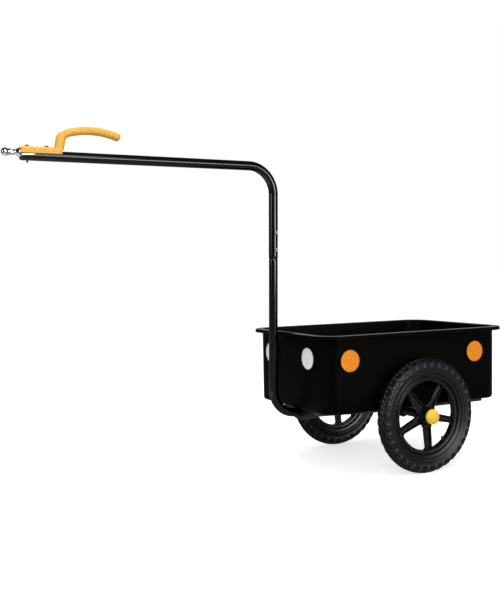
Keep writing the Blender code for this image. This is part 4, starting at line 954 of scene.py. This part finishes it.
class TRAILER_OT_drawbar(bpy.types.Operator):
    """Build both drawbar tubes, the joint's shoulder and the cut under the handle."""

    bl_idname = "trailer.drawbar"
    bl_label = "Drawbar"

    low_bend, high_bend = 0.085, 0.095
    scarf_drop, scarf_length, scarf_reach = 0.0044, 0.130, 0.16
    nose_length, nose_turn, nose_depth = 0.004, 0.0012, 0.010
    front_run = 0.2
    joint_gap = 0.0002

    def bend(self, joint, lean, level, radius, side):
        """An arc of constant radius between a level tube and the leaning upright, as (points,
        headings). With side 1 it rises to the upright, and with -1 it comes down from level."""
        turn = np.linspace(0.0, lean, 40)[::side]
        end = level + side * radius * (1.0 - math.cos(lean))
        middle = joint[0] + (end - joint[2]) / math.tan(lean) - side * radius * math.sin(lean)
        return np.stack([middle + side * radius * np.sin(turn), 0.0 * turn,
                         level + side * radius * (1.0 - np.cos(turn))], axis=1), turn

    def tube(self, name, node, runs, steps, shape=None):
        """A circle carried along runs of (points, heading, radius)."""
        path = np.concatenate([points for points, _, _ in runs])
        headings, radii = (np.concatenate([np.broadcast_to(run[i], len(run[0])) for run in runs])
                           for i in (1, 2))
        ring = np.stack([np.sin(angles(steps)), np.cos(angles(steps))], axis=1)
        grid = swept(path, headings, ring * radii[:, None, None])
        if shape:
            grid[..., 2] = shape(grid[..., 0], grid[..., 2])
        add_piece(name, node, [capped(grid)], drawbar_paint(bpy.context.scene.trailer_finish))

    def execute(self, context):
        """The upright passes through the joint's bolts, so it leans a little. The upper tube's
        front end is flattened where it reaches above the slanted cut."""
        upper, lower = Box("drawbar_upper_tube"), Box("drawbar_lower_tube")
        low_bolt = Box("joint_low_bolt").middle * (X_AXIS + Z_AXIS)
        rise = Box("joint_high_bolt").middle - low_bolt
        up = math.atan2(rise[2], rise[0])
        axis = np.array([math.cos(up), 0.0, math.sin(up)])
        joint = low_bolt + axis * (upper.low[2] - low_bolt[2] + self.joint_gap) / axis[2]
        level, radius = Box("drawbar_socket").middle[2], lower.size[1] / 2.0
        points, turn = self.bend(joint, up, level, self.low_bend, 1)
        rear = (lower.low[0], 0.0, level)
        tail = np.array([(-0.0062, 0.0), (-0.0046, 0.00015), (-0.0030, 0.0005), (-0.0016, 0.0010),
                         (-0.0006, 0.0014), (-0.0003, 0.0022), (0.0040, 0.0022)])
        self.tube("drawbar_lower", "drawbar_lower_tube", [
            ([rear], 0.0, radius), (straight(rear, points[0], 12), 0.0, radius), (points, turn, radius),
            (straight(points[-1], joint + axis * tail[0, 0], 24), up, radius),
            (joint + axis * tail[:, :1], up, radius - tail[:, 1])], 72)

        front, radius = upper.high[0], upper.size[1] / 2.0
        level = upper.high[2] - radius
        points, turn = self.bend(joint, up, level, self.high_bend, -1)
        lip = np.array([(0.0, 0.0010), (0.0004, 0.0004), (0.0010, 0.0001), (0.0020, 0.0)])
        last = np.array([(front - self.front_run, 0.0, level), (front, 0.0, level)])

        def cut(x, z):
            """Heights under the slanted cut, with the lower edge turned in at the very end."""
            slant = level - self.scarf_drop + (radius + self.scarf_drop) / self.scarf_length * (front - x)
            z = np.where(x > front - self.scarf_reach, np.minimum(z, slant), z)
            turned_in = smooth_step(x, front - self.nose_length, front) * self.nose_turn
            return z + turned_in * (z < level - self.nose_depth)

        self.tube("drawbar_upper", "drawbar_upper_tube", [
            (joint + axis * lip[:, :1], up, radius - lip[:, 1]),
            (straight(joint + axis * 0.003, points[0], 24), up, radius), (points, turn, radius),
            (straight(points[-1], last[0], 24), 0.0, radius),
            (np.linspace(*last, 70), 0.0, radius)], 96, cut)
        return {"FINISHED"}


class TRAILER_OT_hitch(bpy.types.Operator):
    """Build the hitch: its shank in the tube, and above it the ball on its tapered stem."""

    bl_idname = "trailer.hitch"
    bl_label = "Hitch"

    shank_radius, shank_end = 0.01395, -0.0980
    rise = 0.0077
    ball, groove = 0.01225, 0.0090
    boss_radius, boss_half, boss_reach = 0.0055, 0.0125, 0.0265
    root = 0.0080

    def execute(self, context):
        """Shank and head are profiles of (radius, place along X) turned about two level lines,
        and the boss is one turned about a line across."""
        box = Box("hitch_ball")
        front = Box("drawbar_upper_tube").high[0]
        tip = np.array([front, 0.0, box.low[2] + self.shank_radius])
        raised = tip + Z_AXIS * self.rise
        centre = box.high[0] - self.ball - front
        cone = Box("handle").high[0] - front + 0.0003
        angle = np.linspace(0.0, math.pi - math.asin(self.groove / self.ball), 48)
        foot = centre - math.sqrt(self.ball**2 - self.groove**2)
        head = np.stack([self.ball * np.sin(angle), centre + self.ball * np.cos(angle)], axis=1)
        stem = rounded([
            (self.groove, foot), (0.0100, foot - 0.0007, 0.0005), (0.0096, foot - 0.0060, 0.004),
            (0.0078, foot - 0.0180, 0.006), (0.0077, foot - 0.0205, 0.004), (0.0134, cone + 0.0016, 0.0010),
            (0.0138, cone, 0.0005), (self.root, cone), (self.root, -self.root), (0.0, -self.root)], 6)
        shank = rounded([
            (0.0, -0.0030), (self.shank_radius, -0.0030, 0.0006),
            (self.shank_radius, self.shank_end + 0.0015, 0.001), (0.0120, self.shank_end),
            (0.0, self.shank_end)], 4)
        radius, half = self.boss_radius, self.boss_half
        boss = rounded([(0.0, -half), (radius, -half, 0.0012), (radius, half, 0.0012), (0.0, half)], 6)
        patches = [turned(np.concatenate([head, stem]), 96, raised, X_AXIS), turned(shank, 96, tip, X_AXIS),
                   turned(boss, 48, raised + X_AXIS * self.boss_reach, Y_AXIS)]
        add_piece("hitch_plated", "hitch_ball", patches, ball_plate())
        return {"FINISHED"}


class TRAILER_OT_handle(bpy.types.Operator):
    """Build the pull handle: saddle, riser and grip with finger ribs."""

    bl_idname = "trailer.handle"
    bl_label = "Handle"

    arc_radius, arc_setback = 0.259, 0.2205
    arc_start, arc_end = math.radians(16.0), math.radians(-19.4)
    foot_setback, knee_share = 0.121, 0.51
    half_width, roundness = 0.0130, 0.7
    rib_pitch, rib_height, rib_setback = 0.0135, 0.0004, 0.233
    tip_length, tip_roundness = 0.0090, 0.55
    saddle_length, bore = 0.127, 0.0163
    bore_drop, skirt_drop = 0.026, 0.0205
    bolt_places, bolt_rise = (0.023, 0.082), 0.0046
    grip_half = 0.010

    def grip_line(self, front, top, foot_z):
        """Centre line of the riser and the grip as (points, headings): a straight foot, an arc at
        the knee and a long shallow arc to the tip."""
        radius, start = self.arc_radius, self.arc_start
        middle, level = front - self.arc_setback, top - self.grip_half - radius
        shoulder = np.array([middle + radius * math.sin(start), level + radius * math.cos(start)])
        foot = np.array([front - self.foot_setback, foot_z])
        rise = QUARTER + math.atan2(foot[0] - shoulder[0] - 0.020, shoulder[1] - foot_z) / 2.0
        flat = math.pi - start
        knee = (shoulder[1] - foot_z) * self.knee_share / math.cos((rise + flat) / 2.0 - QUARTER)
        bend = knee / (2.0 * math.sin((flat - rise) / 2.0))
        turn = np.linspace(rise, flat, 30)
        arch = np.stack([np.sin(turn) - math.sin(flat), math.cos(flat) - np.cos(turn)], axis=1)
        arch = shoulder + bend * arch
        angle = np.linspace(start, self.arc_end, 120)[1:]
        shallow = np.array([middle, level]) + radius * np.stack([np.sin(angle), np.cos(angle)], axis=1)
        leg = foot + np.linspace(0.0, 1.0, 20)[:-1, None] * (arch[0] - foot)
        x, z = np.concatenate([leg, arch, shallow]).T
        headings = np.concatenate([np.full(len(leg), rise), turn, math.pi - angle])
        return np.stack([x, 0.0 * x, z], axis=1), headings

    def grip(self, front, top, saddle_top):
        """A rounded section carried along the grip's line, which swells at the knee, has ribs on
        its finger side and ends in a round tip."""
        path, headings = self.grip_line(front, top, saddle_top - 0.005)
        wave = np.stack([np.sin(angles(56)), np.cos(angles(56))])
        wide, rise = np.sign(wave) * np.abs(wave) ** self.roundness
        level = smooth_step(headings, headings[0], headings[0] + 0.9)[:, None]
        knee = level * (1.0 - level) * 4.0
        along = front - self.rib_setback - path[:, :1]
        rib = self.rib_height * np.cos(TURN * along / self.rib_pitch) * plateau(along, 0.056, 0.01)
        outer, inner = 0.0160 - 0.0060 * level + 0.0019 * knee, 0.0128 + 0.0014 * level
        up = np.where(rise > 0.0, inner, outer) * rise + rib * smooth_step(rise, 0.2, 0.9)
        sections = np.stack(np.broadcast_arrays(self.half_width * wide, up), axis=-1)
        turn = np.linspace(0.12, QUARTER - 0.02, 10)
        ahead = np.array([math.cos(headings[-1]), 0.0, math.sin(headings[-1])])
        path = np.concatenate([path, path[-1] + ahead * self.tip_length * np.sin(turn)[:, None]])
        headings = np.concatenate([headings, np.full(len(turn), headings[-1])])
        tip = sections[-1] * (np.cos(turn) ** self.tip_roundness)[:, None, None]
        return swept(path, headings, np.concatenate([sections, tip]))

    def saddle(self, front, top, half):
        """A bridge section carried along the tube, drawn in at both ends and a little swollen
        round the bolts."""
        bore, level, skirt = self.bore, top - self.bore_drop, top - self.skirt_drop
        start = math.asin((skirt - level) / bore)
        arc = np.linspace(start, math.pi - start, 25)
        under = np.stack([bore * np.cos(arc), level + bore * np.sin(arc)], axis=1)
        right = [(half - 0.006, top, 0.0045), (half, top - 0.004, 0.0060), (half - 0.0004, skirt, 0.0006)]
        left = [(-y, z, radius) for y, z, radius in reversed(right)]
        y, z = resampled(np.concatenate([rounded(left + right, 6), under]), 120, True).T
        ease = np.linspace(0.0, QUARTER, 7)
        rear = front - self.saddle_length
        begin, drawn = 0.006 * (1.0 - np.cos(ease)), 0.004 * (1.0 - np.sin(ease))
        middle = np.linspace(rear + 0.008, front - 0.008, 40)
        stations = np.concatenate([rear + begin, middle, front - begin[::-1]])
        inset = np.concatenate([drawn, np.zeros(40), drawn[::-1]])[:, None]
        swell = sum(plateau(stations - front + bolt, 0.011, 0.008) for bolt in self.bolt_places)[:, None]
        is_top = smooth_step(z, top - 0.006, top - 0.001)
        outside = np.hypot(y, z - level) > bore + 0.0006
        wide = y * (1.0 - inset / half * outside)
        high = z - (inset + 0.0007 - 0.00072 * swell) * is_top
        return np.stack([np.broadcast_to(stations[:, None], wide.shape), wide, high], axis=-1)

    def execute(self, context):
        """Grip and saddle are one piece, and the saddle's top is where the bolts' heads stand."""
        box = Box("handle")
        saddle_top = Box("handle_bolt_front").high[2] - self.bolt_rise
        patches = [capped(self.grip(box.high[0], box.high[2], saddle_top)),
                   capped(self.saddle(box.high[0], saddle_top, box.size[1] / 2.0))]
        material = yellow_plastic("Handle plastic", context.scene.trailer_finish.yellow_colour)
        add_piece("handle_moulding", "handle", patches, material)
        return {"FINISHED"}


class TRAILER_OT_fasteners(bpy.types.Operator):
    """Build the bolts and nuts that hold the trailer together."""

    bl_idname = "trailer.fasteners"
    bl_label = "Fasteners"

    # Shares of the corner's radius and of the height. The thread's first shares are of its diameter.
    head_shape = ((0.0, 0.0), (1.0, 0.0), (1.0, 0.72), (0.97, 0.84), (0.90, 0.95), (0.84, 1.0),
                  (0.4, 0.985), (0.0, 0.98))
    nut_shape = ((0.0, 0.0), (0.86, 0.0), (0.97, 0.10), (1.0, 0.18), (1.0, 0.80), (0.97, 0.90), (0.86, 1.0))
    thread_shape = ((0.54, 1.0), (0.50, 0.94), (0.0, 0.94))

    def bolt(self, node, axis, flats, head, diameter, material, washer=0.0, nut=None):
        """A bolt in the place of its node, head along the axis. Its washer stands under the head,
        and its shank goes to its nut or to the node's end."""
        box = Box(node)
        washer_height = 0.0015 if washer else 0.0
        base = box.face(axis) - axis * (head + washer_height)
        end = Box(nut).face(axis) if nut else box.face(-axis)
        length = abs((base - end) @ axis)
        corner = flats / 2.0 / math.cos(math.pi / 6)
        levels = [(corner * share, washer_height + head * height) for share, height in self.head_shape]
        radius, bevel = diameter / 2.0, 0.0006
        shank = rounded([(0.0, -length), (radius - bevel, -length), (radius, bevel - length),
                         (radius, 0.0002), (0.0, 0.0002)], 3)
        patches = [(hexagon(flats, levels, base, axis), False, True), turned(shank, 32, base, axis)]
        if washer:
            ring = rounded([(0.0, 0.0), (washer / 2.0, 0.0, 0.0003), (washer / 2.0, washer_height, 0.0004),
                            (0.0, washer_height)], 4)
            patches.append(turned(ring, 56, base, axis))
        add_piece(f"{node}_head", node, patches, material)

    def nut(self, node, axis, flats, diameter, material, end=0.0):
        """A nut in the place of its node, and the rounded thread that stands out of it by end."""
        box = Box(node)
        base, height = box.face(-axis), abs(box.size @ axis)
        corner = flats / 2.0 / math.cos(math.pi / 6)
        levels = [(corner * share, height * level) for share, level in self.nut_shape]
        levels += [(diameter * share, height * level) for share, level in self.thread_shape]
        patches = [(hexagon(flats, levels, base, axis), False, True)]
        if end:
            radius, top = diameter * 0.47, height + end
            stub = rounded([(0.0, height * 0.5), (radius, height * 0.5), (radius, top - 0.0008, 0.0008),
                            (diameter * 0.36, top, 0.0004), (0.0, top)], 4)
            patches.append(turned(stub, 32, base, axis))
        add_piece(f"{node}_hex", node, patches, material)

    def execute(self, context):
        """Each bolt or nut stands where its node does."""
        zinc, dark = zinc_plate(), dark_plate()
        for name in ("joint_low", "joint_high", "socket"):
            bolt, nut = f"{name}_bolt", f"{name}_nut"
            flats = Box(bolt).size[2]
            self.bolt(bolt, -Y_AXIS, flats, 0.0053, 0.008, dark, nut=nut)
            self.nut(nut, Y_AXIS, flats, 0.008, dark, Box(bolt).high[1] - Box(nut).high[1])
        for end in ("front", "rear"):
            self.bolt(f"handle_bolt_{end}", Z_AXIS, 0.010, 0.0028, 0.006, dark, 0.014)
        for side, sign in SIDES:
            for end in ("front", "rear"):
                self.bolt(f"tub_bolt_{end}_{side}", Z_AXIS, 0.010, 0.004, 0.006, zinc, 0.024)
                self.bolt(f"hanger_bolt_{end}_{side}", Y_AXIS * sign, 0.008, 0.0035, 0.005, zinc)
            self.nut(f"axle_nut_{side}", Y_AXIS * sign, Box(f"axle_nut_{side}").size[2], 0.012, zinc)
        return {"FINISHED"}


class TRAILER_OT_frame_finish(bpy.types.Operator):
    """Give the underframe and the hidden wheel parts their finishes."""

    bl_idname = "trailer.frame_finish"
    bl_label = "Frame finish"

    def execute(self, context):
        """Painted steel, plated steel, ground bearing steel or inner tube rubber, by node."""
        finishes = {
            ("frame_", "yoke_", "drawbar_socket", "axle_tube", "axle_hanger"):
                frame_paint(context.scene.trailer_finish),
            ("stub_axle", "axle_washer"): zinc_plate(),
            ("bearing_",): bearing_steel(),
            ("inner_tube",): plain_rubber("Inner tube rubber", 0.010, 0.65)}
        for name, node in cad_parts.items():
            for starts, material in finishes.items():
                if name.startswith(starts):
                    node.data.materials.clear()
                    node.data.materials.append(material)
        return {"FINISHED"}


class TRAILER_OT_stage(bpy.types.Operator):
    """Set the floor, the lamps, the world and the camera."""

    bl_idname = "trailer.stage"
    bl_label = "Stage"

    floor_reach = 40.0
    bright_spot = (1.15, 0.0, 0.0)
    # Each lamp's name, place, aim, size and power.
    lamps = (("overhead", (0.2, 0.4, 3.6), (0.0, 0.0, 0.4), (3.2, 2.6), 90.0),
             ("key", (2.4, 3.4, 2.4), (0.0, 0.0, 0.5), (1.8, 2.2), 70.0),
             ("fill", (-3.0, 2.6, 1.5), (0.0, 0.0, 0.4), (1.6, 2.2), 26.0))
    plain_light, room_light = 0.42, 0.05
    floor_glow = 0.67

    def execute(self, context):
        """Build each part of the stage."""
        self.floor(context)
        for lamp in self.lamps:
            self.lamp(context, *lamp)
        self.world(context)
        self.camera(context)
        context.scene.view_settings.view_transform = "Standard"
        return {"FINISHED"}

    def rays(self, tree):
        """1 for a camera ray, and 1 for a glossy or refracted one, as two terms."""
        path = place(tree, "LightPath", None)
        return path["Is Camera Ray"], path["Is Glossy Ray"].larger(path["Is Transmission Ray"])

    def floor(self, context):
        """A level sheet that takes the shadow, and is white to the camera where none falls. Gloss
        shows it white under the hitch and dim elsewhere, and a camera under it sees through it."""
        edge = (-self.floor_reach, self.floor_reach)
        mesh = build_mesh("floor", [(np.array([[(x, y, 0.0) for y in edge] for x in edge]), False, False)])
        floor = bpy.data.objects.new("floor", mesh)
        context.scene.collection.objects.link(floor)
        material = bpy.data.materials.new("Floor")
        material.use_nodes = True
        tree = material.node_tree
        tree.nodes.remove(tree.nodes["Principled BSDF"])
        camera, gloss = self.rays(tree)
        away = place(tree, "VectorMath", "Value", {"operation": "DISTANCE"},
                     i0=place(tree, "TexCoord", "Object"), i1=self.bright_spot)
        shine = gloss * away.ranged(0.40, 0.95, 0.90, 0.12, "SMOOTHSTEP")
        tone = camera * 0.38 - gloss * 0.28 + 0.5
        grey = place(tree, "CombineColor", Red=tone, Green=tone, Blue=tone)
        glow = place(tree, "Emission", Color=WHITE, Strength=camera * self.floor_glow + shine)
        lit = place(tree, "AddShader", i0=place(tree, "BsdfDiffuse", Color=grey), i1=glow)
        below = place(tree, "NewGeometry", "Backfacing") * camera
        sheet = place(tree, "MixShader", i0=below, i1=lit, i2=place(tree, "BsdfTransparent"))
        tree.links.new(sheet.socket, tree.nodes["Material Output"].inputs["Surface"])
        mesh.materials.append(material)

    def lamp(self, context, name, spot, aim, size, power):
        """A large soft lamp that gloss doesn't show."""
        data = bpy.data.lights.new(name, "AREA")
        data.shape = "RECTANGLE"
        data.size, data.size_y = size
        data.energy = power
        lamp = bpy.data.objects.new(name, data)
        context.scene.collection.objects.link(lamp)
        back = np.array(spot) - np.array(aim)
        back = back / np.linalg.norm(back)
        right = np.cross(Z_AXIS, back)
        right = right / np.linalg.norm(right)
        self.put(lamp, spot, right, np.cross(back, right), back)
        lamp.visible_glossy = False

    def put(self, item, spot, right, up, back):
        """Set a lamp or the camera at a spot, turned by three directions."""
        turn = Matrix(np.stack([right, up, back], axis=1).tolist()).to_4x4()
        item.matrix_world = Matrix.Translation(spot) @ turn

    def world(self, context):
        """White to the camera, and a plain grey light otherwise. Gloss shows white where the
        backdrop stands behind the trailer, a low band beside the camera, two lit windows, and a
        dim room elsewhere."""
        world = context.scene.world or bpy.data.worlds.new("World")
        context.scene.world = world
        world.use_nodes = True
        tree = world.node_tree
        camera, gloss = self.rays(tree)
        towards = place(tree, "TexCoord", "Generated")

        def patch(centre, outer, inner, strength):
            """A soft round patch about a direction, between two cosines from it."""
            facing = place(tree, "VectorMath", "Value", {"operation": "DOT_PRODUCT"}, i0=towards, i1=centre)
            return facing.ranged(outer, inner, 0.0, strength, "SMOOTHSTEP")

        backdrop = patch((-0.469, -0.883, 0.0), 0.72, 0.92, 1.0)
        window = patch((0.05, 0.88, 0.46), 0.90, 0.98, 8.0)
        ahead = patch((0.970, 0.119, 0.212), 0.976, 0.993, 5.0)
        off_level = abs(place(tree, "SeparateXYZ", 2, i0=towards) - 0.03)
        band = off_level.ranged(0.05, 0.13, 1.0, 0.0, "SMOOTHSTEP")
        beside = patch((-0.35, 0.937, 0.0), 0.976, 0.9945, 17.0) * band
        shown = self.room_light + backdrop.larger(window.larger(ahead)) + beside
        plain = (1.0 - camera.larger(gloss)) * self.plain_light
        background = tree.nodes["Background"].inputs
        tree.links.new((camera + (gloss * shown + plain)).socket, background["Strength"])
        background["Color"].default_value = WHITE

    def camera(self, context):
        """The camera looks along its yaw, pitch and roll from its place beside the axle."""
        view = context.scene.trailer_stage
        data = bpy.data.cameras.new("camera")
        data.sensor_fit = "HORIZONTAL"
        data.sensor_width = 36.0
        data.lens = view.focal * data.sensor_width
        data.clip_end = 100.0
        camera = bpy.data.objects.new("camera", data)
        context.scene.collection.objects.link(camera)
        level = np.array([-math.cos(view.yaw), math.sin(view.yaw), 0.0])
        ahead = -math.cos(view.pitch) * np.array([
            math.sin(view.yaw), math.cos(view.yaw), math.tan(view.pitch)])
        above = np.cross(level, ahead)
        right = math.cos(view.roll) * level + math.sin(view.roll) * above
        up = math.cos(view.roll) * above - math.sin(view.roll) * level
        spot = (Box("axle_tube").middle[0] + view.camera_x, view.camera_y, view.camera_z)
        self.put(camera, spot, right, up, -ahead)
        context.scene.camera = camera


PIECES = (TRAILER_OT_tub, TRAILER_OT_reflectors, TRAILER_OT_tyres, TRAILER_OT_wheels, TRAILER_OT_hub_caps,
          TRAILER_OT_valves, TRAILER_OT_drawbar, TRAILER_OT_hitch, TRAILER_OT_handle, TRAILER_OT_fasteners,
          TRAILER_OT_frame_finish, TRAILER_OT_stage)
GROUPS = {"trailer_finish": TRAILER_PG_finish, "trailer_tub": TRAILER_PG_tub,
          "trailer_wheel": TRAILER_PG_wheel, "trailer_stage": TRAILER_PG_stage}


class TRAILER_PT_panel(bpy.types.Panel):
    """The trailer's sizes, colours and pieces."""

    bl_idname = "TRAILER_PT_panel"
    bl_label = "Bicycle Trailer"
    bl_space_type = "VIEW_3D"
    bl_region_type = "UI"
    bl_category = "Trailer"

    def draw(self, context):
        """List the settings, then a button for each piece."""
        for name, group in GROUPS.items():
            box = self.layout.box()
            for setting in group.__annotations__:
                box.prop(getattr(context.scene, name), setting)
        for piece in PIECES:
            self.layout.operator(piece.bl_idname)


def register():
    """Register the settings, the operators and the panel."""
    for name, group in GROUPS.items():
        bpy.utils.register_class(group)
        setattr(bpy.types.Scene, name, PointerProperty(type=group))
    for piece in (*PIECES, TRAILER_PT_panel):
        bpy.utils.register_class(piece)


def unregister():
    """Take everything out again, in the opposite order."""
    for piece in (TRAILER_PT_panel, *reversed(PIECES)):
        bpy.utils.unregister_class(piece)
    for name, group in reversed(GROUPS.items()):
        delattr(bpy.types.Scene, name)
        bpy.utils.unregister_class(group)


def main():
    """Build every piece in order."""
    register()
    for piece in PIECES:
        getattr(bpy.ops.trailer, piece.bl_idname.split(".")[1])()


if __name__ == "__main__":
    main()
